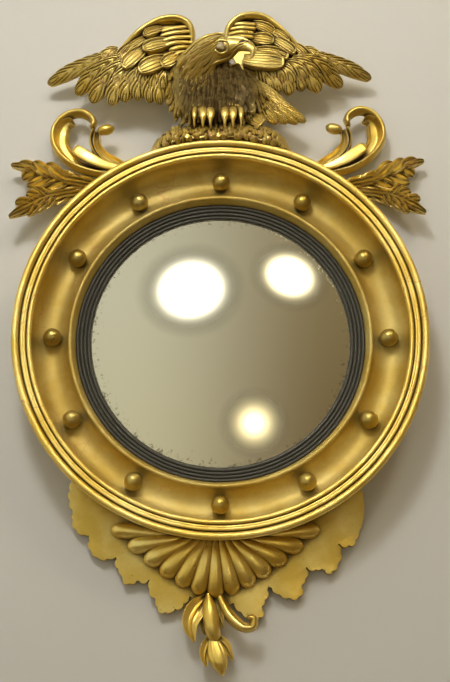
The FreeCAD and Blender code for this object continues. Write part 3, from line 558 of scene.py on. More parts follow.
def gilt(tree, shader, wear, toning, reach, cracks=0.0, shade=1.0, patch=None, sink=None,
         dull=0.0):
    c = colours()
    # shade scales the leaf colours over a whole piece: painted light and shade.
    leaf = group_node(tree, "Old leaf", old_leaf_group, Leaf=rgba([v * shade for v in c.leaf]),
                      Rubbed=rgba([v * shade for v in c.rubbed]), Bole=rgba(c.bole), Grime=rgba(c.grime),
                      Wear=wear, Toning=toning, Reach=reach, Dull=dull)
    # Painted shadow: a spot darkened round a point in x and z, fully within the core radius and fading out by
    # the edge radius.
    if patch:
        x, z, core, edge = [v * MM for v in patch]
        where = put(tree, "ShaderNodeTexCoord").outputs["Object"]
        flat = put(tree, "ShaderNodeVectorMath", operation="MULTIPLY")
        feed(tree, flat.inputs[0], where)
        flat.inputs[1].default_value = (1, 0, 1)
        far = put(tree, "ShaderNodeVectorMath", operation="DISTANCE")
        feed(tree, far.inputs[0], flat.outputs[0])
        far.inputs[1].default_value = (x, 0, z)
        feed(tree, leaf.inputs["Patch"], ranged(tree, far.outputs["Value"], edge, core))
    # Painted shade: sink darkens the gilding more the deeper it lies, from its shallow to its deep depth, as
    # shade in the ring's hollow.
    if sink:
        shallow, deep, amount = sink
        split = put(tree, "ShaderNodeSeparateXYZ")
        feed(tree, split.inputs[0], put(tree, "ShaderNodeTexCoord").outputs["Object"])
        feed(tree, leaf.inputs["Patch"],
             ranged(tree, split.outputs["Y"], -shallow * MM, -deep * MM, 0.0, amount))
    tone = leaf.outputs["Color"]
    if cracks:
        lines = group_node(tree, "Age cracks", age_crack_group, Spacing=30.0, Width=0.022)
        mask = maths(tree, "MULTIPLY", lines.outputs["Mask"], cracks)
        tone = mixed(tree, mask, tone, rgba(c.bole))
    feed(tree, shader.inputs["Base Color"], tone)
    feed(tree, shader.inputs["Roughness"], leaf.outputs["Roughness"])
    feed(tree, shader.inputs["Metallic"], leaf.outputs["Metallic"])
    bump(tree, shader, leaf.outputs["Height"], 0.30, 0.0005)


# Each gilding below is a lighter or darker copy of one gold leaf, set by its shade: painted light and shade
# on each part.
def rim_gilding():
    # Its sink paints shade into the deep part of the hollow under the rim.
    return material("Gilding of the rim", gilt, wear=0.20, toning=0.85, reach=0.006, cracks=0.5,
                    shade=1.12, sink=(74, 50, 0.40), dull=0.10)


def carved_gilding():
    return material("Gilding of the carving", gilt, wear=0.10, toning=1.15, reach=0.007, shade=0.85)


def eagle_gilding():
    """Gilding that old toning has turned dark on the breast, under the head."""
    return material("Gilding of the eagle", gilt, wear=0.04, toning=1.1, reach=0.010, shade=0.7,
                    patch=(-6, 354, 46, 78))


def shell_gilding():
    return material("Gilding of the shell", gilt, wear=0.06, toning=1.0, reach=0.008, shade=1.15)


def bright_gilding():
    # The tongues' gilding is painted brighter than the rest: a painted highlight.
    return material("Burnished gilding", gilt, wear=0.02, toning=0.3, reach=0.004, shade=1.12)


def leaf_gilding():
    return material("Gilding of the leaves", gilt, wear=0.12, toning=0.75, reach=0.004, shade=0.85)


def board_gilding():
    return material("Gilding of the apron", gilt, wear=0.12, toning=0.8, reach=0.014, shade=0.9)


def ball_gilding():
    return material("Gilding of the balls", gilt, wear=0.30, toning=1.0, reach=0.010, shade=0.62)


def glow_panel(tree, shader, colour, strength, radius):
    """Lamp cloth that fades out to its edge, so that it shows as a soft glow in the glass."""
    where = put(tree, "ShaderNodeTexCoord").outputs["Object"]
    far = put(tree, "ShaderNodeVectorMath", operation="LENGTH")
    feed(tree, far.inputs[0], where)
    share = maths(tree, "DIVIDE", far.outputs["Value"], radius)
    square = maths(tree, "MULTIPLY", share, share)
    core = maths(tree, "EXPONENT", maths(tree, "MULTIPLY", square, -12.0))
    halo = maths(tree, "EXPONENT", maths(tree, "MULTIPLY", square, -3.2))
    glow = maths(tree, "ADD", maths(tree, "MULTIPLY", core, strength), maths(tree, "MULTIPLY", halo, 0.9))
    feed(tree, shader.inputs["Emission Strength"],
         maths(tree, "MULTIPLY", glow, ranged(tree, share, 1.0, 0.75)))
    shader.inputs["Emission Color"].default_value = colour
    clear = put(tree, "ShaderNodeBsdfTransparent")
    blend = put(tree, "ShaderNodeMixShader")
    feed(tree, blend.inputs[0], ranged(tree, share, 1.0, 0.45))
    tree.links.new(clear.outputs[0], blend.inputs[1])
    tree.links.new(shader.outputs[0], blend.inputs[2])
    tree.links.new(blend.outputs[0], tree.nodes["Material Output"].inputs["Surface"])
    shader.inputs["Base Color"].default_value = (0.3, 0.3, 0.3, 1)


def floor_paint(tree, shader):
    """Floor that is pale to the camera only; gold, glass and all other rays see a dim brown one."""
    shader.inputs["Base Color"].default_value = (0.66, 0.65, 0.63, 1)
    shader.inputs["Roughness"].default_value = 0.9
    dim = put(tree, "ShaderNodeBsdfDiffuse")
    dim.inputs["Color"].default_value = (0.24, 0.18, 0.09, 1)
    pick = put(tree, "ShaderNodeMixShader")
    feed(tree, pick.inputs[0], put(tree, "ShaderNodeLightPath").outputs["Is Camera Ray"])
    tree.links.new(dim.outputs[0], pick.inputs[1])
    tree.links.new(shader.outputs[0], pick.inputs[2])
    tree.links.new(pick.outputs[0], tree.nodes["Material Output"].inputs["Surface"])


def soft_lamp(name, place, aim, radius, strength, colour):
    mesh = bpy.data.meshes.new(name)
    ring = [(radius * math.cos(a), radius * math.sin(a), 0) for a in (math.tau * k / 32 for k in range(32))]
    mesh.from_pydata(ring, [], [tuple(range(32))])
    cloth = bpy.data.objects.new(name, mesh)
    bpy.context.collection.objects.link(cloth)
    cloth.location = place
    cloth.rotation_euler = (Vector(aim) - Vector(place)).to_track_quat("Z", "Y").to_euler()
    mesh.materials.append(material(name, glow_panel, colour=colour, strength=strength, radius=radius))
    cloth.visible_camera = False


def build_world():
    """Tinted room light, brighter above and to the left; plain pale to the camera only."""
    world = bpy.data.worlds.new("Studio")
    bpy.context.scene.world = world
    world.use_nodes = True
    tree = world.node_tree
    room = tree.nodes["Background"]
    split = put(tree, "ShaderNodeSeparateXYZ")
    feed(tree, split.inputs[0], put(tree, "ShaderNodeTexCoord").outputs["Generated"])
    across = ranged(tree, split.outputs["X"], -0.55, 0.65)
    up = ranged(tree, split.outputs["Z"], -0.8, 0.8)
    low = mixed(tree, across, (0.62, 0.57, 0.42, 1), (0.17, 0.115, 0.055, 1))
    high = mixed(tree, across, (0.66, 0.65, 0.57, 1), (0.26, 0.20, 0.11, 1))
    feed(tree, room.inputs["Color"], mixed(tree, up, low, high))
    room.inputs["Strength"].default_value = 1.0
    pale = put(tree, "ShaderNodeBackground")
    pale.inputs["Color"].default_value = (0.72, 0.71, 0.69, 1)
    pick = put(tree, "ShaderNodeMixShader")
    feed(tree, pick.inputs[0], put(tree, "ShaderNodeLightPath").outputs["Is Camera Ray"])
    tree.links.new(room.outputs[0], pick.inputs[1])
    tree.links.new(pale.outputs[0], pick.inputs[2])
    tree.links.new(pick.outputs[0], tree.nodes["World Output"].inputs["Surface"])


def ebonise(tree, shader):
    c = colours()
    where = put(tree, "ShaderNodeTexCoord").outputs["Object"]
    fine = speckle(tree, where, 210.0, 5.0, 0.7)
    cloud = speckle(tree, where, 22.0, 4.0, 0.6)
    crest = put(tree, "ShaderNodeAmbientOcclusion", samples=6, inside=True)
    feed(tree, crest.inputs["Distance"], 0.0022)
    high = ranged(tree, crest.outputs["AO"], 0.65, 0.25)
    rubbed = maths(tree, "MULTIPLY", high, ranged(tree, fine, 0.36, 0.62))
    rubbed = maths(tree, "MULTIPLY", rubbed, ranged(tree, cloud, 0.3, 0.6, 0.35, 1.0))
    tone = mixed(tree, maths(tree, "MULTIPLY", rubbed, 0.75), rgba(c.ebony), (0.30, 0.27, 0.21, 1))
    feed(tree, shader.inputs["Base Color"], tone)
    feed(tree, shader.inputs["Roughness"], ranged(tree, fine, 0.3, 0.7, 0.34, 0.55))
    bump(tree, shader, fine, 0.3, 0.0005)


def silvering(tree, shader):
    """Old mirror plate: tinted, with foxing and dust towards its edge."""
    c = colours()
    where = put(tree, "ShaderNodeTexCoord").outputs["Object"]
    split = put(tree, "ShaderNodeSeparateXYZ")
    feed(tree, split.inputs[0], where)
    square = maths(tree, "ADD", maths(tree, "MULTIPLY", split.outputs["X"], split.outputs["X"]),
                   maths(tree, "MULTIPLY", split.outputs["Z"], split.outputs["Z"]))
    radius = maths(tree, "SQRT", square)
    fox = speckle(tree, where, 190.0, 6.0, 0.75)
    rim = ranged(tree, radius, 0.150, 0.179)
    spots = ranged(tree, maths(tree, "ADD", fox, maths(tree, "MULTIPLY", rim, 0.18)), 0.70, 0.78)
    dust = ranged(tree, speckle(tree, where, 900.0, 2.0, 0.6), 0.70, 0.78)
    tone = mixed(tree, maths(tree, "MULTIPLY", spots, 0.7), rgba(c.silver), (0.10, 0.085, 0.05, 1))
    tone = mixed(tree, maths(tree, "MULTIPLY", dust, 0.15), tone, (0.8, 0.78, 0.7, 1))
    feed(tree, shader.inputs["Base Color"], tone)
    shader.inputs["Metallic"].default_value = 1.0
    haze = maths(tree, "ADD", maths(tree, "MULTIPLY", spots, 0.35), 0.03)
    feed(tree, shader.inputs["Roughness"], haze)


def planks(tree, shader, shade=1.0):
    c = colours()
    wood = group_node(tree, "Plank grain", plank_group, Wood=rgba([v * shade for v in c.pine]),
                      Dark=rgba([v * 0.45 * shade for v in c.pine]), Rings=60.0)
    feed(tree, shader.inputs["Base Color"], wood.outputs["Color"])
    feed(tree, shader.inputs["Roughness"], wood.outputs["Roughness"])
    bump(tree, shader, wood.outputs["Height"], 0.4, 0.0008)


def forged(tree, shader):
    c = colours()
    where = put(tree, "ShaderNodeTexCoord").outputs["Object"]
    scale = speckle(tree, where, 300.0, 5.0, 0.7)
    rust = ranged(tree, speckle(tree, where, 120.0, 4.0, 0.6), 0.48, 0.66)
    feed(tree, shader.inputs["Base Color"], mixed(tree, rust, rgba(c.iron), (0.16, 0.065, 0.03, 1)))
    feed(tree, shader.inputs["Metallic"], ranged(tree, rust, 0.0, 1.0, 0.85, 0.2))
    feed(tree, shader.inputs["Roughness"], ranged(tree, scale, 0.3, 0.7, 0.42, 0.7))
    bump(tree, shader, scale, 0.5, 0.0004)


# Painted shadow: near-black colour for the nostril, where a carved hollow would lie in shade.
def nostril_dark(tree, shader):
    where = put(tree, "ShaderNodeTexCoord").outputs["Object"]
    feed(tree, shader.inputs["Base Color"],
         mixed(tree, speckle(tree, where, 300.0), (0.03, 0.012, 0.004, 1), (0.09, 0.04, 0.012, 1)))
    shader.inputs["Roughness"].default_value = 0.7


def old_eye(tree, shader):
    where = put(tree, "ShaderNodeTexCoord").outputs["Object"]
    cloud = speckle(tree, where, 260.0, 4.0, 0.6)
    feed(tree, shader.inputs["Base Color"],
         mixed(tree, ranged(tree, cloud, 0.4, 0.65), (0.46, 0.36, 0.18, 1), (0.20, 0.14, 0.06, 1)))
    shader.inputs["Roughness"].default_value = 0.12


# ---- turned frame ------------------------------------------------------------------------------------
def rim_radius():
    return sizes().ring_radius / MM


def ring_profile():
    """Turned section of the ring, from the wall round its front to the rebate."""
    rim = rim_radius()
    bead_r, bead_d = rim - 5.0, 75.0
    inner_bead = rim - 23.2
    floor_r, floor_d = rim - 50.6, 30.5
    cove_top_r, cove_top_d = inner_bead - 3.4, 70.6
    rise, reach = cove_top_d - floor_d, cove_top_r - floor_r
    big = (rise * rise + reach * reach) / (2 * rise)
    start = math.degrees(math.atan2(rise - big, reach))
    sight_r, sight_d = rim - 75.0, 44.4
    low_rise, low_reach = 43.6 - floor_d, floor_r - (sight_r + 3.6)
    small = (low_rise ** 2 + low_reach ** 2) / (2 * low_rise)
    end = math.degrees(math.atan2(low_rise - small, -low_reach)) % 360 - 360
    return (
        [(rim - 14.0, 0), (rim - 12.0, 12), (rim - 9.0, 30), (rim - 5.6, 50), (rim - 3.6, 62),
         (rim - 3.0, 68.2), (rim - 1.6, 70.0)]
        + arc(bead_r, bead_d, 5.0, -30, 180, 18)
        + [(rim - 10.2, 73.6), (rim - 10.8, 73.2), (rim - 11.4, 73.8), (rim - 11.8, 75.6)]
        + [(rim - 12.6, 76.3), (rim - 15.6, 76.4), (rim - 16.0, 76.0), (rim - 16.5, 76.4),
           (rim - 18.2, 76.2), (rim - 19.0, 75.2), (rim - 19.3, 72.6), (rim - 19.9, 72.0)]
        + arc(inner_bead, 72.5, 3.2, 0, 180, 12)
        + [(inner_bead - 3.3, 71.6)]
        + arc(floor_r, floor_d + big, big, start, -90, 18)
        + arc(floor_r, floor_d + small, small, -90, end, 12)[1:]
        + [(sight_r + 3.5, 44.0)]
        + arc(sight_r, sight_d, 3.0, 10, 170, 12)
        + [(sight_r - 3.2, 43.2), (sight_r - 4.0, 42.2), (sight_r - 5.4, 38.4), (rim - 81.8, 35.4),
           (rim - 81.8, 33.5), (rim - 73.0, 33.5), (rim - 73.0, 0)]
    )


def cut_pocket(piece):
    """Marks the hanging plate's pocket on the ring's back; the wood inside it isn't taken away."""
    low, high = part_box("hanging_plate")
    slack = 2.0 * MM
    loop_low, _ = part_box("hanging_ring")
    cutter = Carving()
    x0, x1 = low.x - slack, high.x + slack
    z0, z1 = loop_low.z - 4 * MM, high.z + slack / 2
    y0, y1 = low.y - 0.1 * MM, 2 * MM
    cutter.tube([[Vector((x, y, z)) for x, z in ((x0, z0), (x1, z0), (x1, z1), (x0, z1))] for y in (y0, y1)])
    mesh = bpy.data.meshes.new("pocket")
    mesh.from_pydata([tuple(p) for p in cutter.points], [], cutter.faces)
    tool = bpy.data.objects.new("pocket", mesh)
    bpy.context.collection.objects.link(tool)
    cut = piece.modifiers.new("Pocket", "BOOLEAN")
    cut.object, cut.operation, cut.solver = tool, "DIFFERENCE", "EXACT"
    bpy.context.view_layer.update()
    done = bpy.data.meshes.new_from_object(piece.evaluated_get(bpy.context.evaluated_depsgraph_get()))
    piece.modifiers.clear()
    piece.data = done
    bpy.data.objects.remove(tool)


def build_ring():
    carving = Carving()
    turned(carving, ring_profile(), segments=288, wobble=0.25)
    piece = carving.piece("frame_ring_turned", rim_gilding(), smooth=50, nodes=("frame_ring",),
                          slot="gilt_wood")
    cut_pocket(piece)


def build_balls():
    radius = sizes().ball_radius
    carving = Carving()
    random.seed(5)
    for k in range(sizes().ball_count):
        centre = around(360 * k / sizes().ball_count, rim_radius() - 50.6, 30.6 + radius / MM)
        rings = []
        for j in range(23):
            a = math.pi * (0.5 + j) / 23
            deep, wide = radius * math.cos(a), radius * math.sin(a)
            rings.append([centre + Vector((wide * math.cos(t), deep, wide * math.sin(t)))
                          for t in (2 * math.pi * n / 40 for n in range(40))])
        carving.tube(rings)
    carving.piece("turned_balls", ball_gilding(), smooth=60, nodes=("cove_balls",), slot="gilt_wood")


def build_slip():
    """Black slip: four reeds step down from the ring's sight edge to the glass."""
    rim = rim_radius()
    top_r, low_r = rim - 84.4, rim - 101.4
    profile = [(rim - 82.1, 33.4), (rim - 82.3, 33.6)]
    for k in range(4):
        t = k / 3
        r, d = lerp(top_r, low_r + 2.2, t), lerp(33.0, 29.6, t)
        profile += arc(r, d, 1.95, 35, 150, 8)
        profile.append((r - 2.35, d - 0.9))
    edge_r = rim - 103.0
    glass_d = 28.6
    profile += [(edge_r + 0.3, glass_d + 0.6), (edge_r, glass_d + 0.2), (edge_r, glass_d)]
    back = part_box("slip_ring")[1].y / -MM
    profile += [(rim - 93.7, 25.6), (rim - 93.7, back), (rim - 73.3, back), (rim - 73.3, 33.4)]
    carving = Carving()
    turned(carving, profile, segments=240)
    carving.piece("reeded_slip", material("Ebonised wood", ebonise), smooth=60, nodes=("slip_ring",),
                  slot="ebonised_wood")


def build_glass():
    curve = sizes().glass_curve / MM
    low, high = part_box("mirror_glass")
    apex, radius = -low.y / MM, high.x / MM

    def cap(r, sink=0.0):
        return apex - sink - (curve - math.sqrt(curve * curve - r * r))

    stops = [radius * k / 40 for k in range(1, 41)]
    profile = [(0.05, apex)] + [(r, cap(r)) for r in stops]
    profile += [(r, cap(r, 2.5)) for r in reversed(stops)] + [(0.05, apex - 2.5)]
    carving = Carving()
    turned(carving, profile, segments=192)
    carving.piece("convex_glass", material("Old silvering", silvering), smooth=60,
                  nodes=("mirror_glass",), slot="silvered_glass")


# ---- eagle ---------------------------------------------------------------------------------------------
def build_rock():
    """Rocky plinth that follows the ring's curve, cut in ragged ledges under the claws."""
    carving = Carving()
    slices = [(12, 0.95, 314), (22, 0.99, 318), (34, 1.0, 320), (46, 1.0, 319), (56, 0.98, 317),
              (63, 0.95, 314), (69, 0.91, 310), (74, 0.85, 306), (79, 0.77, 300), (82, 0.68, 295)]
    rings = []
    for d, share, top in slices:
        ring = []
        foot = ring_side(d) + (0.5 if d > 69 else -1.0)
        for k in range(97):
            a = math.pi * k / 96
            x = 103 * share * math.cos(a)
            floor_z = math.sqrt(foot * foot - x * x)
            z = floor_z + max(0.0, top - floor_z) * math.sin(a) ** 0.75
            here = Vector((x, z, d))
            rough = noise(here * 0.07) * 5 + noise(here * 0.19) * 3.4 + noise(here * 0.45) * 1.8
            step = 2.6 * abs(math.sin(0.21 * x + 3 * noise(here * 0.04) + d * 0.12))
            fade = min(1.0, 2.2 * math.sin(a))
            ring.append(at(x, z + (rough - step) * fade, d + rough * 0.6 * fade))
        for k in range(1, 24):
            x = lerp(-103 * share, 103 * share, k / 24)
            ring.append(at(x, math.sqrt(foot * foot - x * x), d))
        rings.append(ring)
    carving.tube(rings)
    random.seed(31)
    tree = surface(carving)
    for row, (lift, count) in enumerate(((25, 26), (17, 36), (9.5, 44), (4, 50))):
        for k in range(count):
            reach = (80, 84, 88, 92)[row]
            x = lerp(-reach, reach, (k + 0.5 * (row % 2)) / count) + random.uniform(-1.5, 1.5)
            z = math.sqrt(281 ** 2 - x * x) + lift + random.uniform(-2.5, 2.5)
            lean = random.uniform(-4, 4)
            drop, fat = random.uniform(7, 17), random.uniform(0.7, 1.8)
            ledge = [(x, z), (x + lean * 0.5, z - drop / 2), (x + lean, z - drop)]
            strip(carving, laid(tree, ledge, [-1, 1.4, 2.0], 66), [2.2 * fat, 3.6 * fat, 1.6 * fat],
                  [1.2, 3.4, 2.4], ridge, count=10, across=6, base=4, tip=2)
    carving.piece("rocky_plinth", carved_gilding(), smooth=40, nodes=("crest_rock",), slot="gilt_wood")


BREAST = [(-12, 306, 70, 30, 10), (-12, 314, 69, 42, 17), (-10, 326, 66, 56, 24), (-7, 342, 62, 63, 28),
          (-8, 360, 61, 64, 30), (-14, 378, 62, 57, 29), (-23, 394, 64, 46, 27), (-28, 410, 66, 30, 20)]


def build_body():
    """Breast with rows of long narrow feathers that hang down it, and a flank that runs to the tail."""
    breast, _ = eagle_forms()
    carving = Carving()
    carving.points, carving.faces = list(breast.points), list(breast.faces)
    tree = surface(breast)
    random.seed(11)
    for row in range(9):
        z = 322 + row * 9.6
        _, _, _, wide, _ = [read([s[n] for s in BREAST], (row + 1.2) / 10) for n in range(5)]
        count = int(wide / 2.1)
        for k in range(count):
            u = (k + 0.5 * (row % 2)) / (count - 1) * 2 - 1
            middle = read([s[0] for s in BREAST], (row + 1.2) / 10)
            x = middle + wide * 0.93 * math.sin(u * 1.5) + random.uniform(-1.5, 1.5)
            drop = random.uniform(26, 38)
            drift = 4.0 * u + 0.10 * (x - middle) + random.uniform(-2, 2)
            places = [(x + drift * s, z + 12 - drop * s) for s in (0, 0.3, 0.6, 0.85, 1)]
            path = laid(tree, places, [0.2, 1.0, 1.8, 2.2, 2.0])
            if path[0][2] < 58:
                continue
            strip(carving, path, [1.2, 2.6, 3.0, 2.4], [1.0, 2.8, 3.2, 2.0], ridge, count=14, across=6,
                  base=2.5, tip=5)
    for k in range(26):
        s = k / 25
        start = (lerp(6, 34, s) + random.uniform(-1, 1), lerp(397, 380, s))
        end = (lerp(26, 70, s) + random.uniform(-2, 2), lerp(352, 344, s) + random.uniform(-3, 3))
        depth = lerp(74, 66, s)
        path = [(lerp(start[0], end[0], t) + 3 * math.sin(3.1 * t), lerp(start[1], end[1], t), depth + rise)
                for t, rise in ((0, 0), (0.35, 2.6), (0.7, 2.2), (1, -2))]
        strip(carving, path, [1.8, 3.0, 3.2, 2.2], [1.6, 3, 3.2, 2], ridge, count=20, across=6, base=7, tip=5)
    for x, z, width in ((30, 347, 9), (38, 338, 9), (24, 334, 9), (40, 326, 9), (28, 322, 8)):
        path = laid(tree, [(x - 6, z + 12), (x, z + 2), (x + 4, z - 8)], [2, 3.4, 3.6])
        strip(carving, path, [width * s for s in (0.5, 0.9, 1.0, 0.95)], [1.5, 2.4, 2.8, 2.6], rimmed(2),
              count=30, across=26, base=4, tip=width)
    carving.piece("eagle_breast", eagle_gilding(), smooth=60, nodes=("eagle_body",), slot="gilt_wood")


HEAD = [(-42, 388, 72, 29, 23), (-30, 398, 82, 27, 22), (-18, 405, 92, 24.5, 20.5), (-6, 409, 99, 21, 18),
        (4, 410, 104, 17, 14.5), (13, 410, 108, 13.5, 11), (22, 409, 111.5, 11.5, 8.6),
        (31, 406.5, 115, 10, 7), (39, 402, 118, 8, 5.6), (43.5, 396.5, 119.5, 5.4, 4.2),
        (44.5, 391, 119, 3.4, 3.0), (43, 386, 118, 2.2, 2.0), (40, 382, 116.5, 0.5, 0.5)]


def build_head():
    """Neck and head turned to the viewer's right, with brow, eye, cere, gape and hooked beak."""
    breast, head = eagle_forms()
    carving = Carving()
    carving.points, carving.faces = list(head.points), list(head.faces)
    tree, both = surface(head), surface(breast, head)
    random.seed(23)
    for row in range(3):
        for k in range(15):
            s = k / 14
            start = (lerp(2, -8, s) - 17 * row, lerp(422, 386, s) - 3.5 * row)
            end = (lerp(-34, -32, s) - 14 * row, lerp(406, 352, s) - 9 * row)
            jitter = [random.uniform(-2, 2) for _ in range(3)]
            places = [(lerp(start[0], end[0], t) + jitter[0] + 2 * math.sin(3.1 * t),
                       lerp(start[1], end[1], t) + jitter[1] - 2.5 * math.sin(3.1 * t))
                      for t in (0, 0.3, 0.6, 0.85, 1)]
            path = laid(both, places, [0.0, 0.8, 1.5, 1.8, 1.4])
            strip(carving, path, [1.0, 2.4, 3.0, 2.6], [0.8, 2.2, 2.6, 1.8], ridge,
                  count=20, across=6, base=3, tip=5)
    lines = [
        ([(-52, 404), (-38, 415), (-23, 423), (-10, 427.5), (-2, 429), (3, 426), (4, 419)],
         [2.4, 2.8, 3.0, 3.0, 2.8, 2.2, 1.2], [2.2, 2.8, 3.2, 3.6, 3.4, 2.8, 1.4], 4),
        ([(-24, 377), (-11, 384.5), (1, 390), (13, 396), (25, 400.5), (36, 401.5)],
         [0.8, 2.2, 2.6, 2.4, 2.0, 0.8], [1.4, 3, 3.4, 3.2, 2.6, 1], 4),
        ([(-22, 372), (-10, 379.5), (1, 384.5), (13, 389.5), (25, 394)],
         [0.8, 1.5, 1.7, 1.5, 0.7], [1.2, 2.2, 2.6, 2.2, 1], 4),
        ([(-10.5, 404), (-7.5, 397.5), (0, 395), (7.5, 397.5), (10.5, 403)], [0.7, 2.0, 2.3, 2.0, 0.7],
         [1.0, 2.6, 2.8, 2.6, 1.0], 4),
        ([(-10.5, 405), (-6, 410.5), (1, 412), (8, 409.5), (10.5, 404)], [0.7, 1.7, 2.0, 1.7, 0.7],
         [1.0, 2.2, 2.6, 2.2, 1.0], 4),
        ([(12, 398.5), (19, 401.5), (27, 404.5), (35, 405.5)], [1.0, 1.6, 1.6, 0.6], [1.2, 2, 2, 0.8], 3),
        ([(9, 416.5), (18, 416.5), (29, 414.5), (38, 410)], [1.0, 3.4, 3.4, 1.0], [0.4, 1.8, 1.8, 0.4], 3),
    ]
    for places, widths, relief, base in lines:
        strip(carving, laid(tree, places, 0.0, 110), widths, relief, rolled, count=40, across=10, base=base)
    carving.piece("eagle_head_carved", carved_gilding(), smooth=60, nodes=("eagle_head",), slot="gilt_wood")
    eye, pit = Carving(), Carving()
    x, z, d = laid(tree, [(0, 403.5)], 0.4, 112)[0]
    form(eye, [(x - 7.2, z, d - 0.6, 0.3, 0.3), (x - 6.0, z, d, 3.2, 1.4), (x - 3.6, z, d + 0.4, 5.4, 2.8),
               (x, z, d + 0.6, 6.4, 3.4), (x + 3.6, z, d + 0.4, 5.4, 2.8), (x + 6.0, z, d, 3.2, 1.4),
               (x + 7.2, z, d - 0.6, 0.3, 0.3)], sides=24, steps=4)
    eye.piece("eagle_eye", material("Glassy eye", old_eye), smooth=80)
    # The nostril is a thin dark strip laid on the beak: a painted shadow, not a cut hollow.
    path = laid(tree, [(23, 405), (28, 408), (34, 408.5), (39, 406)], -0.2, 116)
    strip(pit, path, [0.6, 2.0, 2.0, 0.6], [0.5, 0.7, 0.7, 0.5], rolled, count=20, across=8, base=1)
    pit.piece("eagle_nostril", material("Dark hollow", nostril_dark), smooth=80)


# flight feathers: root and tip as x, z, d, and the half width
LEFT_FLIGHTS = [
    ((-81, 404, 60), (-88, 347, 50), 12), ((-92, 404, 60), (-102, 350, 49), 12),
    ((-104, 405, 60), (-120, 354, 48), 12.5), ((-114, 407, 59), (-140, 353, 46), 13),
    ((-126, 411, 58), (-159, 349, 43), 13), ((-136, 415, 57), (-188, 357, 37), 13),
    ((-145, 420, 56), (-211, 372, 32), 12), ((-149, 426, 55), (-254, 394, 22), 10.5),
]
LEFT_LEADING = [
    ((-164, 414, 52), (-232, 400, 29), 7.5), ((-158, 420, 53), (-207, 405, 38), 7.5),
    ((-155, 424, 54), (-190, 410, 45), 7.5), ((-150, 433, 54), (-174, 418, 50), 7),
]
LEFT_OVER = [
    ((-76, 401, 62), (-82, 366, 57), 8.5), ((-88, 401, 62), (-95, 367, 57), 8.5),
    ((-101, 403, 62), (-112, 373, 56), 9), ((-112, 406, 62), (-131, 374, 54), 9),
    ((-124, 410, 61), (-153, 372, 51), 9), ((-134, 413, 60), (-174, 377, 47), 9),
    ((-145, 419, 58), (-192, 386, 42), 8.5),
]
RIGHT_FLIGHTS = [
    ((52, 404, 60), (72, 366, 51), 11), ((64, 404, 60), (84, 366, 50), 11),
    ((78, 406, 60), (99, 363, 48), 12), ((90, 411, 59), (118, 371, 46), 12),
    ((101, 415, 58), (142, 371, 42), 13), ((108, 420, 57), (176, 383, 35), 12.5),
    ((114, 426, 56), (220, 402, 24), 10.5),
]
RIGHT_LEADING = [
    ((130, 416, 52), (197, 406, 31), 7.5), ((125, 422, 53), (180, 408, 38), 7.5),
    ((122, 427, 54), (161, 411, 45), 7.5), ((118, 434, 54), (143, 418, 50), 7),
]
RIGHT_OVER = [
    ((73, 403, 62), (88, 378, 57), 8.5), ((83, 404, 62), (102, 377, 56), 8.5),
    ((94, 409, 62), (121, 385, 54), 9), ((102, 415, 61), (140, 388, 51), 9),
    ((110, 420, 60), (160, 397, 47), 8.5),
]
# rounded coverts: path, half width and how many ribs
LEFT_COVERTS = [
    ([(-128, 440, 60), (-140, 428, 60), (-150, 415, 57)], 7.5, 2),
    ([(-86, 462, 64), (-100, 456, 66), (-113, 450, 66)], 6.5, 1),
    ([(-111, 445, 64), (-125, 433, 66), (-137, 419, 65)], 6.5, 1),
    ([(-75, 438, 68), (-94, 432, 71), (-113, 425, 71)], 10, 2),
    ([(-58, 417, 69), (-72, 406, 73), (-86, 399, 72)], 11, 2),
    ([(-111, 429, 66), (-126, 413, 69), (-141, 397, 68)], 11.5, 2),
    ([(-76, 410, 68), (-96, 401, 72), (-118, 390, 71)], 12.5, 2),
]
RIGHT_COVERTS = [
    ([(106, 438, 60), (117, 428, 60), (128, 414, 57)], 7.5, 2),
    ([(46, 470, 63), (60, 465, 65), (78, 455, 64)], 8, 2),
    ([(74, 458, 64), (85, 450, 66), (98, 441, 65)], 6.5, 1),
    ([(74, 445, 66), (91, 433, 69), (107, 421, 67)], 8.5, 2),
    ([(46, 445, 67), (60, 442, 70), (76, 438, 70)], 9.5, 2),
    ([(50, 424, 68), (73, 420, 71), (97, 413, 69)], 8.5, 2),
    ([(32, 409, 69), (60, 405, 73), (91, 403, 72)], 13, 3),
]
LEFT_RIBS = [
    [(-44, 465, 64), (-66, 461, 67), (-87, 456, 66)], [(-42, 457, 65), (-65, 453, 68), (-88, 448, 67)],
    [(-42, 448, 65), (-65, 444, 69), (-87, 439, 68)], [(-42, 439, 65), (-64, 436, 69), (-83, 431, 69)],
    [(-45, 431, 66), (-59, 428, 70), (-75, 423, 70)], [(-47, 422, 66), (-56, 420, 70), (-68, 415, 70)],
]
RIGHT_RIBS = [
    [(11, 467, 64), (29, 468, 67), (50, 467, 66)], [(8, 459, 65), (29, 461, 68), (50, 460, 67)],
    [(7, 451, 65), (27, 453, 69), (48, 452, 68)], [(7, 443, 65), (26, 446, 69), (47, 445, 69)],
    [(10, 434, 66), (27, 437, 70), (45, 434, 70)],
]
ROLLS = {
    "left": [(-43, 440, 57), (-43, 458, 59), (-50, 471, 61), (-66, 477, 62), (-88, 475, 61), (-109, 465, 59),
             (-127, 451, 57), (-142, 436, 54), (-151, 424, 50)],
    "right": [(8, 440, 57), (10, 460, 60), (18, 472, 61), (31, 480, 62), (49, 482, 62), (65, 478, 61),
              (78, 469, 60), (95, 454, 57), (111, 439, 54), (122, 429, 50)],
}


def wing_web(carving, outline, back, front):
    """Plate behind the feathers, thick enough to carry them."""
    carving.tube([[at(x, z, d) for x, z in outline] for d in (back, front)])


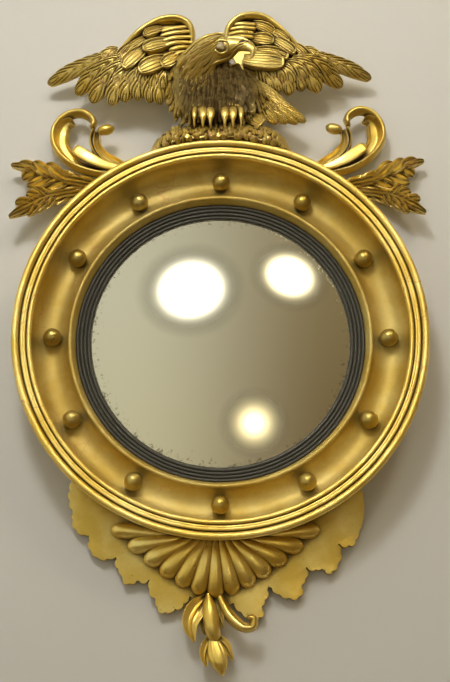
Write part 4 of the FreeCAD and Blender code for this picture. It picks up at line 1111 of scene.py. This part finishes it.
def build_wing(side):
    """Wing: long flights, a shorter row over them, leading feathers, coverts, ribs and the rolled edge."""
    carving = Carving()
    left = side == "left"
    lean = 0.16 if left else -0.16
    flights = LEFT_FLIGHTS if left else RIGHT_FLIGHTS
    leading = LEFT_LEADING if left else RIGHT_LEADING
    over = LEFT_OVER if left else RIGHT_OVER
    for rows, relief, grooves, base in ((leading, 3.6, 2, 3.5), (flights, 5.0, 2.5, 4.5), (over, 4.6, 2, 5)):
        for root, tip, width in rows:
            a, b = Vector(root), Vector(tip)
            sag = Vector((0, 0, 2.2))
            bend = Vector((b.y - a.y, a.x - b.x, 0)).normalized() * (3.0 if left else -3.0)
            path = [tuple(a), tuple(a.lerp(b, 0.35) + sag + bend),
                    tuple(a.lerp(b, 0.7) + sag + bend), tuple(b)]
            strip(carving, path, [width * s for s in (0.7, 0.95, 1.05, 1.0, 0.5)],
                  [relief * s for s in (0.8, 1, 1, 0.8)], feather(grooves), count=70, across=36,
                  base=base, lean=lean, tip=width * 0.6)
    coverts = LEFT_COVERTS if left else RIGHT_COVERTS
    for path, width, lines in coverts:
        strip(carving, path, [width * s for s in (0.6, 0.9, 1.0, 1.0, 0.92)], [3, 3.8, 4.4, 4.2],
              rimmed(lines + 1), count=44, across=44, base=9, tip=width * 1.3)
    for path in LEFT_RIBS if left else RIGHT_RIBS:
        strip(carving, path, [3.0, 3.6, 3.8, 3.4], [2.4, 3.4, 3.8, 2.8], rolled, count=28, across=10, base=7,
              tip=4)
    lower = {"left": [(-142, 418), (-132, 404), (-100, 394), (-60, 394)],
             "right": [(124, 420), (106, 404), (70, 394), (30, 392)]}[side]
    web = [(x, z - 1) for x, z, _ in ROLLS[side]] + lower
    wing_web(carving, web, 48, 60)
    strip(carving, ROLLS[side], [4, 5.6, 6.2, 6.2, 6, 5.6, 5, 4, 1.8], [9, 12, 13, 13, 12, 11, 8, 5], rolled,
          count=90, across=16, base=6)
    carving.piece(f"{side}_wing_carved", carved_gilding(), smooth=60, nodes=(f"{side}_wing",),
                  slot="gilt_wood")


def eagle_forms():
    """Plain forms of the breast and of the head, which the feathers are laid on."""
    breast, head = Carving(), Carving()
    rings = []
    for k in range(31):
        x, z, d, wide, deep = [read([s[n] for s in BREAST], k / 30) for n in range(5)]
        rings.append([at(x + wide * 0.97 * math.cos(a), z, d + deep * 0.97 * math.sin(a))
                      for a in (2 * math.pi * n / 48 for n in range(48))])
    breast.tube(rings)
    form(head, HEAD, sides=36, steps=6)
    return breast, head


def build_tail():
    carving = Carving()
    quills = [
        ((34, 386, 62), (66, 364, 60), (97, 341, 54), 7), ((40, 380, 62), (74, 350, 58), (122, 322, 47), 9),
        ((44, 368, 63), (80, 338, 57), (110, 318, 49), 9.5),
        ((46, 358, 64), (72, 334, 59), (95, 317, 52), 9.5),
        ((42, 350, 65), (62, 332, 62), (80, 314, 57), 9.5), ((30, 392, 64), (56, 368, 62), (82, 346, 57), 6),
        ((38, 376, 66), (60, 352, 64), (84, 330, 58), 6.5),
        ((40, 362, 67), (56, 344, 66), (76, 326, 61), 6.5),
    ]
    for root, middle, tip, width in quills:
        strip(carving, [root, middle, tip], [width * s for s in (0.5, 0.9, 1.0, 0.9, 0.55)],
              [2.5, 3.6, 3.8, 2.8], feather(3, 0.2), count=60, across=30, base=4.5, lean=-0.12,
              tip=width * 1.5)
    strip(carving, [(26, 332, 69), (42, 322, 71), (60, 309, 67)], [7, 12, 15, 15], [3, 4, 4.5, 4.4],
          rimmed(4, 0.3), count=44, across=50, base=5, tip=15)
    carving.piece("eagle_tail_carved", carved_gilding(), smooth=60, nodes=("eagle_tail",),
                  slot="gilt_wood")


def build_feet():
    """Feathered shanks and thick toes that close over the rock's edge."""
    feet = (("left", -27, ((-10, 3.6), (2, 6), (12.5, 6))),
            ("right", 12, ((-6.5, 6), (5, 6), (16, 3.8))))
    for side, x, toes in feet:
        carving = Carving()
        form(carving, [(x, 332, 74, 13, 9), (x, 324, 79, 12, 9), (x, 316, 83, 10, 8), (x, 308, 85, 7, 6)],
             sides=18, steps=4)
        for spread, fat in toes:
            form(carving, [(x + spread * 0.85, 325, 81, fat * 0.7, 3.2),
                           (x + spread * 0.95, 320, 88, fat * 0.95, 4.6), (x + spread, 313, 92.5, fat, 5.0),
                           (x + spread, 306, 94.5, fat * 0.85, 4.4),
                           (x + spread, 301, 95, fat * 0.5, 3.0), (x + spread, 295, 93.5, fat * 0.3, 1.8),
                           (x + spread, 290.5, 91, 0.4, 0.4)], sides=18, steps=6)
        for k in range(7):
            dx = (k - 3) * 3.8
            path = [(x + dx * 0.9, 340, 82), (x + dx, 332, 88 - abs(dx) * 0.4), (x + dx * 1.05, 325, 90)]
            strip(carving, path, [1.6, 2.8, 2.2], [1.2, 2.2, 1.8], ridge, count=14, across=6, base=5, tip=4)
        carving.piece(f"{side}_claw_carved", shell_gilding(), smooth=60, nodes=(f"{side}_foot",),
                      slot="gilt_wood")


def ring_side(d):
    """Radius of the ring's outside at a depth."""
    rim = rim_radius()
    stops = [(0, 14.0), (12, 12.0), (30, 9.0), (50, 5.6), (62, 3.6), (68, 3.0), (72, -1.2), (90, -1.2)]
    for (d0, r0), (d1, r1) in zip(stops, stops[1:]):
        if d <= d1:
            return rim - lerp(r0, r1, (d - d0) / (d1 - d0))
    return rim + 1.2


# ---- scrolls, leaves and twigs -----------------------------------------------------------------------------
SCROLL_BANDS = {
    "left": [(-140, 250, 11), (-164, 253, 12), (-178, 254, 13), (-192, 257, 14), (-209, 263, 15),
             (-223, 272, 16), (-235, 285, 17), (-242, 300, 18), (-243, 316, 18), (-237, 330, 19),
             (-227, 340, 20), (-213, 345, 22), (-200, 344, 24), (-189, 337, 26), (-184, 327, 28),
             (-187, 317, 29)],
    "right": [(138, 251, 11), (160, 256, 12), (174, 258, 13), (188, 262, 14), (204, 270, 15),
              (217, 280, 16), (228, 293, 17), (234, 307, 18), (234, 322, 18), (229, 335, 19),
              (220, 345, 20), (207, 350, 22), (195, 348, 24), (186, 341, 26), (182, 332, 28),
              (185, 322, 29)],
}
SCROLL_LEAVES = {
    "left": [(-169, 257, 13), (-191, 262, 13), (-209, 270, 14), (-222, 282, 15), (-230, 296, 16),
             (-231, 310, 17), (-228, 322, 18), (-220, 329, 20), (-211, 327, 23)],
    "right": [(166, 260, 13), (187, 267, 13), (203, 276, 14), (215, 289, 15), (222, 303, 16),
              (223, 316, 17), (220, 328, 18), (213, 334, 20), (205, 332, 23)],
}
STEMS = {
    "left": [(-177, 314, 26), (-179, 298, 22), (-174, 285, 19), (-165, 275, 17),
             (-152, 268, 15), (-138, 259, 13)],
    "right": [(175, 318, 26), (178, 302, 22), (174, 289, 19), (165, 279, 17), (152, 270, 15), (138, 261, 13)],
}
STEM_LINES = {
    "left": [(-184, 319, 28), (-188, 305, 24), (-186, 293, 22), (-180, 280, 20),
             (-169, 270, 18), (-157, 264, 16)],
    "right": [(182, 323, 28), (187, 309, 24), (186, 296, 22), (180, 283, 20), (169, 273, 18), (157, 267, 16)],
}
TONGUES = {
    "left": [(-213, 289, 23), (-200, 280, 23), (-184, 270, 23), (-167, 263, 22), (-150, 260, 20)],
    "right": [(209, 294, 23), (197, 284, 23), (182, 273, 23), (165, 265, 22), (150, 261, 20)],
}


def build_scroll(side):
    """Rolled C-scroll with a smooth dish inside it, its stem, button and bright tongue."""
    carving = Carving()
    strip(carving, SCROLL_BANDS[side], [5, 5, 4.8, 4.6, 4.8, 5, 5.2, 6, 6.6, 6.2, 4],
          [13, 14, 15, 15, 15, 15, 14, 12], rolled, count=140, across=18, base=0.5, tip=5)
    sign = 1 if side == "left" else -1

    def dish(u, t, length):
        return trough(-sign * u, t, length)

    strip(carving, SCROLL_LEAVES[side], [3.4, 4.2, 5.8, 8.0, 9.8, 11.2, 11.6, 9.6, 5],
          [11, 12, 13, 14, 15, 14], dish, count=100, across=30, base=0.5, tip=7)
    carving.piece(f"{side}_scroll_carved", carved_gilding(), smooth=60, nodes=(f"{side}_scroll",),
                  slot="gilt_wood")
    stem = Carving()
    strip(stem, STEMS[side], [4.4, 5.2, 6, 6.6, 7.4, 7], [12, 13, 14, 14, 12], fluted(0.8), count=70,
          across=20, base=0.5)
    strip(stem, STEM_LINES[side], [2.2, 2.4, 2.6, 2.8, 2.8, 2.4], [9, 10, 10, 10, 9], rolled,
          count=60, across=10, base=0.5)
    stem.piece(f"{side}_stem_carved", shell_gilding(), smooth=60, nodes=(f"{side}_stem",),
               slot="gilt_wood")
    tongue = Carving()
    strip(tongue, TONGUES[side][::-1], [4.5, 6.0, 7.6, 8.2, 7.2], [9, 10, 11, 11, 10],
          lambda u, t, length: 0.9 + 0.1 * (1 - u ** 4), count=50, across=16, base=0.5, tip=7)
    tongue.piece(f"{side}_tongue_carved", bright_gilding(), smooth=60, nodes=(f"{side}_tongue",),
                 slot="gilt_wood")
    x, z, tilt = (-166, 315, 2.0) if side == "left" else (163, 317, -2.0)
    button = Carving()
    form(button, [(x - 12.5, z - tilt, 34, 0.5, 0.5), (x - 11, z - tilt, 34, 3.8, 4),
                  (x - 7, z - tilt * 0.7, 34, 6.6, 7.3), (x, z, 34, 7.8, 8.4),
                  (x + 7, z + tilt * 0.7, 34, 6.6, 7.3),
                  (x + 11, z + tilt, 34, 3.8, 4), (x + 12.5, z + tilt, 34, 0.5, 0.5)], sides=28, steps=5)
    button.piece(f"{side}_button_turned", carved_gilding(), smooth=70, nodes=(f"{side}_button",),
                 slot="gilt_wood")


# leaves: each lobe as its path and half widths, the left side's as seen
UPPER_LOBES = [
    ([(-146, 230, 7), (-175, 238, 8), (-210, 244, 12), (-235, 248, 14), (-258, 255, 19), (-279, 261, 23),
      (-302, 264, 22)], [7, 6, 5, 6, 8, 8.5, 6, 3]),
    ([(-223, 246, 14), (-234, 251, 20), (-243, 258, 23), (-252, 266, 21)], [3.5, 5.5, 6, 3.4]),
    ([(-239, 248, 16), (-253, 254, 23), (-263, 261, 25), (-270, 269, 22)], [4, 5.5, 6, 3.4]),
    ([(-262, 256, 19), (-276, 261, 24), (-291, 266, 22)], [4, 5.5, 3.4]),
    ([(-223, 243, 13), (-235, 235, 17), (-245, 229, 19), (-252, 226, 17)], [3.5, 5.5, 6, 3.6]),
    ([(-241, 246, 16), (-255, 238, 21), (-267, 233, 22), (-277, 233, 20)], [4, 5.5, 5.5, 3.4]),
    ([(-264, 254, 20), (-276, 248, 23), (-284, 242, 21)], [4, 5.5, 3.6]),
]
LOWER_LOBES = [
    ([(-198, 232, 7), (-216, 226, 12), (-234, 218, 21), (-252, 209, 28), (-269, 196, 37), (-285, 184, 43),
      (-297, 175, 44)], [5, 5, 5, 7, 8, 6.5, 4.5, 2]),
    ([(-247, 212, 26), (-257, 219, 29), (-265, 226, 27)], [3.5, 5.2, 3]),
    ([(-256, 208, 29), (-266, 212, 33), (-276, 215, 31)], [3.5, 5.2, 3]),
    ([(-269, 197, 36), (-279, 198, 40), (-290, 198, 39)], [3.5, 5, 3]),
    ([(-240, 216, 24), (-243, 207, 27), (-246, 198, 25)], [3.5, 5, 3]),
    ([(-250, 208, 28), (-256, 197, 32), (-261, 186, 32)], [3.5, 5.2, 3]),
    ([(-263, 198, 34), (-267, 188, 37), (-272, 180, 37)], [3.5, 5, 3]),
]


# leaves: the midrib as x, z, d and the lobes that leave it, each with its start, tip and half width
LEAVES = {
    "left_upper_leaf": (UPPER_LOBES, False), "right_upper_leaf": (UPPER_LOBES, True),
    "left_lower_leaf": (LOWER_LOBES, False), "right_lower_leaf": (LOWER_LOBES, True),
}


def to_right(x, z, d):
    """Place on the right for one on the left: the right leaves stand a little higher and nearer."""
    out = max(0.0, -x - 205)
    return (-x - 0.09 * out, z + 0.10 * out, d - 0.05 * out)


def build_leaf(name):
    """Leaf of rounded lobes on a hollowed blade."""
    lobes, right = LEAVES[name]
    carving = Carving()
    for k, (points, widths) in enumerate(lobes):
        path = [to_right(*p) if right else p for p in points]
        if k == 0:
            blade = [(x, z, d - 3.5) for x, z, d in path]
            strip(carving, blade, [9, 10, 12, 15, 14, 9, 3], [5, 6, 6, 5, 4], lobed_leaf(6, 0.25), count=90,
                  across=34, base=2, tip=10)
        relief = [6, 8, 8.5, 8, 6] if k == 0 else [5, 8.5, 8.5, 6]
        wide = [w * (1.15 if k == 0 else 1.65) for w in widths]
        strip(carving, path, wide, relief, curled, count=90 if k == 0 else 44, across=28, base=2.5,
              tip=wide[-1] * 1.4)
    carving.piece(name + "_carved", leaf_gilding(), smooth=60, nodes=(name,), slot="gilt_wood")


def build_twig(side):
    """Leafy twig along the ring's side: small leaves in turn to each hand."""
    carving = Carving()
    sign = -1 if side == "left" else 1
    end = 65 if side == "left" else 63

    def spot(t, offset, lift):
        place = around(sign * lerp(40, end, t), 280 + offset, 20 + lift)
        return (place.x / MM, place.z / MM, -place.y / MM)

    strip(carving, [spot(t, 0, 2) for t in (0, 0.33, 0.66, 0.97)], [3.4, 3.4, 3, 1.6], [5, 5, 4.5, 3], rolled,
          count=60, across=10, base=3, tip=4)
    for k in range(6):
        t = 0.04 + k * 0.155
        for hand in (-1, 1):
            reach = 9.5 if hand > 0 else 7.5
            start = t + (0.05 if hand > 0 else 0.0)
            path = [spot(start, 0, 3), spot(start + 0.06, hand * reach * 0.6, 7),
                    spot(start + 0.14, hand * reach, 6)]
            strip(carving, path, [2.2, 4.6, 5.0, 3.6], [4, 6, 6, 4], curled,
                  count=30, across=20, base=4, tip=5)
    carving.piece(f"{side}_twig_carved", carved_gilding(), smooth=60, nodes=(f"{side}_twig",),
                  slot="gilt_wood")


# ---- apron ------------------------------------------------------------------------------------------------
SCALLOPS = [
    (-182, -170), (-203, -214), (-196, -237), (-193, -257), (-173, -265), (-166, -292), (-138, -293),
    (-136, -308), (-129, -317), (-124, -328), (-110, -324), (-101, -327), (-92, -324), (-93, -338),
    (-83, -350), (-79, -364), (-64, -364), (-51, -359), (-40, -345), (-33, -349), (-26, -345),
    (-24, -358), (-22, -370), (-14, -374), (-8, -370), (-4, -358), (2, -350), (9, -354), (16, -353),
    (30, -368), (44, -375), (54, -371), (54, -357), (62, -345), (62, -329), (78, -343), (95, -348),
    (107, -342), (107, -329), (114, -320), (114, -307), (124, -311), (134, -307), (146, -314),
    (154, -305), (160, -292), (156, -276), (172, -279), (183, -265), (192, -218), (176, -168),
]


def through(a, b, c, steps):
    """Points on the arc from a through b to c, without c."""
    ax, ay, bx, by, cx, cy = a[0], a[1], b[0], b[1], c[0], c[1]
    det = 2 * (ax * (by - cy) + bx * (cy - ay) + cx * (ay - by))
    sa, sb, sc = ax * ax + ay * ay, bx * bx + by * by, cx * cx + cy * cy
    ox = (sa * (by - cy) + sb * (cy - ay) + sc * (ay - by)) / det
    oy = (sa * (cx - bx) + sb * (ax - cx) + sc * (bx - ax)) / det
    radius = math.hypot(ax - ox, ay - oy)
    start, middle, end = [math.atan2(y - oy, x - ox) for x, y in (a, b, c)]
    if (middle - start) % math.tau > (end - start) % math.tau:
        sweep = (end - start) % math.tau - math.tau
    else:
        sweep = (end - start) % math.tau
    turns = [start + sweep * k / steps for k in range(steps)]
    return [(ox + radius * math.cos(t), oy + radius * math.sin(t)) for t in turns]


def apron_front():
    return -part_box("apron_board")[0].y / MM


def build_apron_board():
    """Sawn and scalloped board with its edge softened, scribed round the ring."""
    plain_line = []
    for k in range(0, len(SCALLOPS) - 2, 2):
        plain_line += through(SCALLOPS[k], SCALLOPS[k + 1], SCALLOPS[k + 2], 16)
    plain_line.append(SCALLOPS[-1])
    outline, run = [], 0.0
    for n, (x, z) in enumerate(plain_line):
        before, after = plain_line[max(n - 1, 0)], plain_line[min(n + 1, len(plain_line) - 1)]
        if n:
            run += math.hypot(x - before[0], z - before[1])
        step = Vector((after[0] - before[0], after[1] - before[1])).normalized()
        cut = 3.6 * (abs(math.sin(math.pi * run / 14.0)) ** 0.55 - 0.7)
        if not 0 < n < len(plain_line) - 1:
            cut = 0.0
        outline.append((x + step.y * cut, z - step.x * cut))
    fit = 266.8
    angles = [math.atan2(outline[-1][0], -outline[-1][1]), math.atan2(outline[0][0], -outline[0][1])]
    inner = [(fit * math.sin(a), -fit * math.cos(a))
             for a in (lerp(angles[0], angles[1], k / 60) for k in range(61))]
    work = bmesh.new()
    front, back = apron_front(), 3.0
    loop = outline + inner
    base = [work.verts.new(at(x, z, back)) for x, z in loop]
    bottom = work.faces.new(base)
    grown = bmesh.ops.extrude_face_region(work, geom=[bottom])
    rise = at(0, 0, front - back)
    top = [v for v in grown["geom"] if isinstance(v, bmesh.types.BMVert)]
    bmesh.ops.translate(work, verts=top, vec=rise)
    bmesh.ops.recalc_face_normals(work, faces=work.faces)
    rim = [e for e in work.edges if all(v in top for v in e.verts)]
    bmesh.ops.bevel(work, geom=rim, offset=0.7 * MM, segments=2, profile=0.6, affect="EDGES")
    bmesh.ops.triangulate(work, faces=[f for f in work.faces if len(f.verts) > 4])
    carving = Carving()
    work.verts.ensure_lookup_table()
    work.verts.index_update()
    carving.points = [v.co.copy() for v in work.verts]
    carving.faces = [tuple(v.index for v in f.verts) for f in work.faces]
    work.free()
    carving.piece("apron_board_sawn", board_gilding(), smooth=35, nodes=("apron_board",),
                  slot="gilt_wood")


def shell_tip(k, ribs):
    dx = 136 * (2 * k / (ribs - 1) - 1)
    return -6 + dx, -345 + 87 * (abs(dx) / 136) ** 1.6


def build_shell():
    """Gadrooned shell: plump ribs that spread from under the ring, each with a rounded end."""
    carving = Carving()
    ribs = sizes().shell_ribs
    front = apron_front()
    middle = (ribs - 1) / 2
    order = sorted(range(ribs), key=lambda k: -abs(k - middle))
    for k in order:
        x, z = shell_tip(k, ribs)
        root_x = -6 + (x + 6) * 0.3
        root_z = -math.sqrt(272.0 ** 2 - root_x ** 2)
        rise = 12 * (1 - (abs(k - middle) / (middle + 1)) ** 2)
        near, far = shell_tip(k - 0.5, ribs), shell_tip(k + 0.5, ribs)
        heading = Vector((x - root_x, z - root_z))
        spread = Vector((far[0] - near[0], far[1] - near[1]))
        width = 0.5 * abs(heading.normalized().cross(spread)) * 1.02
        root_width = width * 0.45
        path = [(root_x, root_z, front + 7 + rise),
                (lerp(root_x, x, 0.5), lerp(root_z, z, 0.5), front + 7.5 + rise * 0.85),
                (lerp(root_x, x, 0.86), lerp(root_z, z, 0.86), front + 6 + rise * 0.4),
                (x, z, front + 1.5)]
        widths = [lerp(root_width, width, share) for share in (0, 0.45, 0.8, 1, 1)]
        strip(carving, path, widths, [5, 7.5, 9, 10, 9], gadroon,
              count=60, across=20, base=6, tip=width * 1.15)
    backing = []
    for k in range(25):
        x, z = shell_tip((ribs - 1) * k / 24, ribs)
        backing.append((x * 0.94, z + 9))
    roots = [(root, -math.sqrt(272.0 ** 2 - root ** 2)) for root in (-6 + (x + 6) * 0.3 for x, _ in backing)]
    wing_web(carving, backing + roots[::-1], front + 0.2, front + 6)
    carving.piece("gadrooned_shell", shell_gilding(), smooth=60, nodes=("apron_shell",),
                  slot="gilt_wood")


HUSKS = {
    "upper_husk": [
        ([(-18, -346, 0), (-32, -364, 5), (-38, -382, 10), (-33, -403, 12)], [3.5, 8, 8.5, 6, 1.5],
         [10, 13, 12, 5], "hollow"),
        ([(-10, -346, 0), (-3, -366, 5), (1, -376, 7), (4, -386, 8)], [3, 5, 5.5, 3.5, 1.2], [10, 12, 10, 5],
         "hollow"),
        ([(-20, -350, 2), (-22, -368, 6), (-21, -386, 8), (-19, -394, 8)], [2, 3.6, 3.6, 1.4], [8, 9, 8, 5],
         "hollow"),
        ([(-15, -345, 2), (-13, -366, 9), (-10, -386, 11), (-5, -402, 9)], [4, 7.4, 8.8, 8.2, 6.5],
         [12, 14, 14, 10], "plump"),
    ],
    "lower_husk": [
        ([(-12, -398, 6), (-17, -411, 7), (-19, -422, 8), (-17, -434, 9)], [3.6, 5.5, 5.5, 3.5, 1.2],
         [8, 9.5, 8, 4], "hollow"),
        ([(-4, -398, 6), (6, -406, 7), (12, -416, 8), (17, -426, 9)], [3.4, 4.4, 4.2, 2.6, 1.2],
         [8, 9, 7, 4], "hollow"),
        ([(-9, -398, 6), (-5, -414, 9), (0, -430, 11), (4, -445, 10)], [4, 7, 8.2, 6, 1.4], [10, 12, 12, 5],
         "ribbed"),
    ],
}


def build_husk(name):
    """Husk of open petals round a bud."""
    carving = Carving()
    front = apron_front()

    def hollow(u, t, length):
        dish = 0.40 * abs(u) ** 1.5 * (1 - 0.5 * ease(0.9, 1, abs(u)))
        return 0.42 + dish + 0.28 * math.exp(-((u / 0.10) ** 2))

    def ribbed(u, t, length):
        return 0.35 + 0.5 * (1 - u * u) + 0.10 * abs(math.cos(2.5 * math.pi * u))

    kinds = {"hollow": hollow, "ribbed": ribbed, "plump": rolled}
    for path, widths, relief, kind in HUSKS[name]:
        lifted = [(x, z, front + lift) for x, z, lift in path]
        strip(carving, lifted, [w * (1.25 if kind == "plump" else 1.5) for w in widths], relief, kinds[kind],
              count=60, across=24, base=0.4, tip=6.5 if kind == "plump" else 1.5)
    carving.piece(name + "_carved", shell_gilding(), smooth=60, nodes=(name,), slot="gilt_wood")


def build_tendril():
    carving = Carving()
    front = apron_front()
    path = [(-2, -342, 2), (6, -360, 5), (16, -374, 10), (30, -385, 16), (42, -384, 20), (43, -375, 22),
            (35, -372, 22)]
    strip(carving, [(x, z, front + lift) for x, z, lift in path], [5.5, 6.6, 7.4, 7.4, 6.4, 5.4, 4.4],
          [11, 12, 12, 12, 11, 8], rolled, count=80, across=18, base=0.5, tip=5)
    carving.piece("apron_tendril_carved", board_gilding(), smooth=60, nodes=("apron_tendril",),
                  slot="gilt_wood")


# ---- back --------------------------------------------------------------------------------------------------
def painted(node, finish):
    """Keeps a CAD node as it is, with its finish painted on."""
    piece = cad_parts[node]
    for slot in piece.material_slots:
        slot.material = finish


def build_back():
    iron = material("Forged iron", forged)
    for node in ("hanging_plate", "hanging_pin", "hanging_ring", "hanging_screws", "backboard_brads",
                 "apron_nails"):
        painted(node, iron)
    for node in ("glass_blocks", "crest_pegs"):
        painted(node, material("Pine blocks", planks, shade=1.25))
    painted("backboard", material("Pine backboard", planks, shade=1.0))


# ---- stage, lights and camera ------------------------------------------------------------------------------
def plain(tree, shader, colour):
    shader.inputs["Base Color"].default_value = colour
    shader.inputs["Roughness"].default_value = 0.9


def one_sided(tree, shader, colour):
    """Wall that shows from the front and lets a view from behind through."""
    plain(tree, shader, colour)
    clear = put(tree, "ShaderNodeBsdfTransparent")
    pick = put(tree, "ShaderNodeMixShader")
    feed(tree, pick.inputs[0], put(tree, "ShaderNodeNewGeometry").outputs["Backfacing"])
    tree.links.new(shader.outputs[0], pick.inputs[1])
    tree.links.new(clear.outputs[0], pick.inputs[2])
    tree.links.new(pick.outputs[0], tree.nodes["Material Output"].inputs["Surface"])


def sheet(name, corners, made):
    mesh = bpy.data.meshes.new(name)
    mesh.from_pydata(corners, [], [(0, 1, 2, 3)])
    stage_piece = bpy.data.objects.new(name, mesh)
    bpy.context.collection.objects.link(stage_piece)
    mesh.materials.append(made)


def build_stage():
    wall = material("Pale wall", one_sided, colour=(0.66, 0.65, 0.63, 1))
    sheet("wall", [(-3, 0.002, -1.35), (3, 0.002, -1.35), (3, 0.002, 2.4), (-3, 0.002, 2.4)], wall)
    floor = material("Pale floor", floor_paint)
    sheet("floor", [(-3, -2.3, -1.35), (3, -2.3, -1.35), (3, 1.5, -1.35), (-3, 1.5, -1.35)], floor)
    build_world()
    soft_lamp("left lamp", (-0.30, -1.50, 0.98), (0, 0, 0), 0.60, 42.0, (1.0, 0.98, 0.92, 1))
    soft_lamp("right lamp", (0.66, -1.32, 1.12), (0, 0, 0), 0.44, 34.0, (1.0, 0.90, 0.68, 1))
    soft_lamp("low lamp", (0.35, -1.75, -0.42), (0, 0, 0), 0.42, 3.5, (1.0, 0.86, 0.55, 1))
    build_camera()


def build_camera():
    """Below and in front of the mirror, looking up at it."""
    pitch, turn, roll = 0.292, 0.0007, 0.001
    forward = Vector((math.sin(turn) * math.cos(pitch), math.cos(turn) * math.cos(pitch), math.sin(pitch)))
    flat_right = Vector((math.cos(turn), -math.sin(turn), 0))
    flat_up = flat_right.cross(forward)
    right = flat_right * math.cos(roll) + flat_up * math.sin(roll)
    up = flat_up * math.cos(roll) - flat_right * math.sin(roll)
    data = bpy.data.cameras.new("camera")
    data.sensor_width = 36.0
    data.sensor_fit = "AUTO"
    data.lens = 1253.4 * 36.0 / 682
    data.clip_start = 0.05
    camera = bpy.data.objects.new("camera", data)
    bpy.context.collection.objects.link(camera)
    turn_to = Matrix((right, up, -forward)).transposed().to_4x4()
    camera.matrix_world = Matrix.Translation((0.0049, -1.6769, -0.4963)) @ turn_to
    bpy.context.scene.camera = camera
    bpy.context.scene.view_settings.view_transform = "Standard"


# ---- operators ---------------------------------------------------------------------------------------------
def operator(idname, label, doc, build):
    """An operator class for one piece or one group of like pieces."""
    def execute(self, context):
        build()
        return {"FINISHED"}
    return type("MIRROR_OT_" + idname, (bpy.types.Operator,), {
        "bl_idname": "mirror." + idname, "bl_label": label, "__doc__": doc, "execute": execute,
    })


def build_wings():
    build_wing("left")
    build_wing("right")


def build_scrolls():
    build_scroll("left")
    build_scroll("right")


def build_leaves():
    for name in LEAVES:
        build_leaf(name)
    build_twig("left")
    build_twig("right")


def build_husks():
    build_husk("upper_husk")
    build_husk("lower_husk")
    build_tendril()


OPERATORS = [
    operator("ring", "Turned ring", "Turn the gilded ring with its beads and hollow", build_ring),
    operator("balls", "Balls", "Set the turned balls in the hollow", build_balls),
    operator("slip", "Black slip", "Turn the reeded black slip", build_slip),
    operator("glass", "Convex glass", "Bend and silver the glass", build_glass),
    operator("rock", "Rocky plinth", "Carve the rock under the eagle", build_rock),
    operator("body", "Eagle's breast", "Carve the breast with its long feathers", build_body),
    operator("head", "Eagle's head", "Carve the neck, head, eye and beak", build_head),
    operator("wings", "Wings", "Carve both wings feather by feather", build_wings),
    operator("tail", "Tail", "Carve the tail feathers", build_tail),
    operator("feet", "Claws", "Carve both feet with their claws", build_feet),
    operator("scrolls", "Scrolls", "Carve both scrolls with stems, buttons and tongues", build_scrolls),
    operator("leaves", "Leaves", "Carve the leaves and the twigs on the rim", build_leaves),
    operator("apron", "Apron board", "Saw the scalloped apron board", build_apron_board),
    operator("shell", "Shell", "Carve the gadrooned shell", build_shell),
    operator("husks", "Husks", "Carve the husks and the tendril", build_husks),
    operator("back", "Back", "Finish the backboard, blocks and iron hanger", build_back),
    operator("stage", "Stage", "Set the wall, floor, lights and camera", build_stage),
]


class MIRROR_PT_panel(bpy.types.Panel):
    """Lists the steps that build the mirror."""
    bl_idname = "MIRROR_PT_panel"
    bl_label = "Mirror"
    bl_space_type = "VIEW_3D"
    bl_region_type = "UI"
    bl_category = "Mirror"

    def draw(self, context):
        for group in (context.scene.mirror_sizes, context.scene.mirror_colours):
            for name in group.__annotations__:
                self.layout.prop(group, name)
        for made in OPERATORS:
            self.layout.operator(made.bl_idname)


CLASSES = [MirrorSizes, MirrorColours] + OPERATORS + [MIRROR_PT_panel]


def register():
    for made in CLASSES:
        bpy.utils.register_class(made)
    bpy.types.Scene.mirror_sizes = bpy.props.PointerProperty(type=MirrorSizes)
    bpy.types.Scene.mirror_colours = bpy.props.PointerProperty(type=MirrorColours)


def unregister():
    del bpy.types.Scene.mirror_sizes
    del bpy.types.Scene.mirror_colours
    for made in reversed(CLASSES):
        bpy.utils.unregister_class(made)


def main():
    register()
    for made in OPERATORS:
        getattr(bpy.ops.mirror, made.bl_idname.split(".")[1])()
    bpy.context.view_layer.update()


if __name__ == "__main__":
    main()
